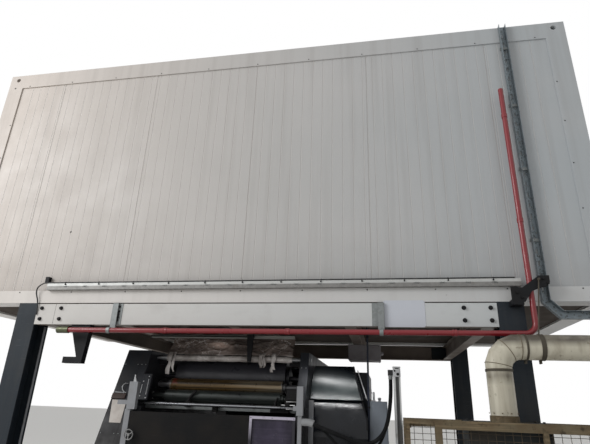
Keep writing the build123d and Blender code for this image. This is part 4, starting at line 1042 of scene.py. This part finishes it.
def make_film_web():
    columns, rows = 220, 44
    xs = [film_left + (film_right - film_left) * i / columns for i in range(columns + 1)]
    kit.walls([kit.row([film_place(x, j / rows) for x in xs]) for j in range(rows + 1)])
    return kit.piece("film_sheet", "film_clear", solid=False)


def ribbon(path, widths):
    """Strip of film along points, as wide as each point says."""
    rows = []
    for (x, y, z), width in zip(path, widths):
        shares = (-0.5, -0.25, 0, 0.25, 0.5)
        rows.append(kit.row([(x + t * width, y - 0.006 * abs(math.sin(9 * t + 40 * z)), z) for t in shares]))
    kit.walls(rows)


def make_film_shreds():
    """Torn ends that hang from the film: each place has its lowest end, its count and its spread."""
    draw = random.Random(7)
    count, top_z = 14, 2.04
    places = ((-0.862, 1.815, 4, 0.03), (0.065, 1.88, 4, 0.034), (0.165, 1.856, 3, 0.024))
    for x, bottom, strands, reach in places:
        for _ in range(strands):
            start = x + draw.uniform(-reach, reach)
            end_z = bottom + draw.uniform(0, 0.06)
            path, widths = [], []
            for t in [k / count for k in range(count + 1)]:
                y = film_low.y - 0.044 * min(t * 4, 1) - draw.uniform(0, 0.004)
                sway = 0.012 * math.sin(7 * t + start * 30) * t
                path.append((start + sway, y, top_z + (end_z - top_z) * max(t - 0.08, 0) / 0.92))
                widths.append(0.01 + 0.02 * abs(math.sin(5 * t + start * 17)))
            ribbon(path, widths)
    return kit.piece("film_shreds", "film_clear", "wound_film", solid=False)


def make_wound_film():
    """Film wound on its roller, lumpy from its creases, with a bore that the roller fills."""
    steps, sides, bore, end_gap = 300, 28, 0.0213, 0.001
    left, right = film_left + end_gap, film_right - end_gap
    round_axis = round_steps(sides)
    rings = []
    for x in [left + (right - left) * i / steps for i in range(steps + 1)]:
        places = []
        for c, s in round_axis:
            coarse = noise.noise(Vector((x * 26, c * 1.3, s * 1.3)))
            fine = noise.noise(Vector((x * 70, c * 3 + 5, s * 3)))
            radius = min(0.0285 + 0.0036 * (coarse + 0.5 * fine), 0.0318)
            places.append((x, film_roll_y + radius * c, film_roll_z + radius * s))
        rings.append(kit.row(places))
    inner = [kit.row([(x, film_roll_y + bore * c, film_roll_z + bore * s) for c, s in round_axis])
             for x in (left, right)]
    kit.walls([inner[0], *rings, inner[1], inner[0]], closed=True)
    return kit.piece("film_wound", "film_clear", "wound_film", "film_roller")


def make_film():
    """Crumpled film from the film roll up to the joists, with torn ends that hang from it."""
    web = make_film_web()
    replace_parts(web, "film_web")
    shreds = make_film_shreds()
    for film in (web, shreds):
        skin = film.modifiers.new("thickness", "SOLIDIFY")
        skin.thickness = film_thickness
    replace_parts(make_wound_film(), "film_wrap")
    kit.block((-1.15, -0.779, 2.196), (-0.04, -0.7655, 2.206))
    kit.piece("film_rail_bar", "black_steel", bevel=0.001)


def make_camera():
    data = bpy.data.cameras.new("camera")
    data.lens = camera_lens_mm
    data.sensor_width = camera_sensor_mm
    camera = linked("camera", data)
    camera.location = camera_place
    camera.rotation_euler = Euler([math.radians(a) for a in camera_turn_degrees])
    bpy.context.scene.camera = camera


def make_stage():
    data = bpy.data.meshes.new("floor")
    corners = [(x * floor_reach, y * floor_reach, 0) for x, y in ((-1, -1), (1, -1), (1, 1), (-1, 1))]
    data.from_pydata(corners, [], [(0, 1, 2, 3)])
    graph = Graph("pale_floor", floor_colour)
    graph.set(Base_Color=graph.skin, Roughness=0.8)
    data.materials.append(finishes["pale_floor"])
    linked("floor", data)


def make_lamp(name, place, target, watts, width, height, spread_degrees=180):
    data = bpy.data.lights.new(name, "AREA")
    data.energy = watts
    data.shape = "RECTANGLE"
    data.size = width
    data.size_y = height
    data.spread = math.radians(spread_degrees)
    lamp = linked(name, data)
    lamp.location = place
    lamp.rotation_euler = (Vector(target) - Vector(place)).to_track_quat("-Z", "Y").to_euler()
    lamp.visible_camera = False


def make_light():
    """A dim white sky that cameras, gloss and glass see as full white, the key and the hoods' lamps."""
    world = bpy.data.worlds.new("sky")
    bpy.context.scene.world = world
    world.use_nodes = True
    nodes = Nodes(world.node_tree)
    rays = nodes.add("LightPath").outputs
    gloss = nodes.either(rays["Is Glossy Ray"], rays["Is Transmission Ray"])
    seen = nodes.either(rays["Is Camera Ray"], gloss)
    background = world.node_tree.nodes["Background"]
    nodes.put(background.inputs["Color"], (1, 1, 1, 1))
    nodes.put(background.inputs["Strength"], nodes.between(seen, 0, 1, sky_strength, 1.0))
    make_lamp("key", key_place, key_target, key_watts, key_width, key_height)
    for i, settings in enumerate(hood_lamps):
        make_lamp(f"hood_lamp_{i + 1}", *settings)


bpy.context.scene.view_settings.view_transform = "Standard"
make_camera()
make_finishes()
make_hose("hose_wide", "wide_hose", wide_hose_route, wide_hose_radius)
make_hose("hose_slim", "slim_hose", slim_hose_route, slim_hose_radius)
make_hose_bands()
make_platform_details()
make_cabin_details()
make_tray_details()
make_pipe_details()
make_riser_details()
make_duct_details()
make_guard_details()
make_frame_details()
make_lean_details()
make_deck_details()
make_hood_details()
make_cabinet_details()
make_post_details()
make_film()
make_stage()
make_light()
dress_nodes()
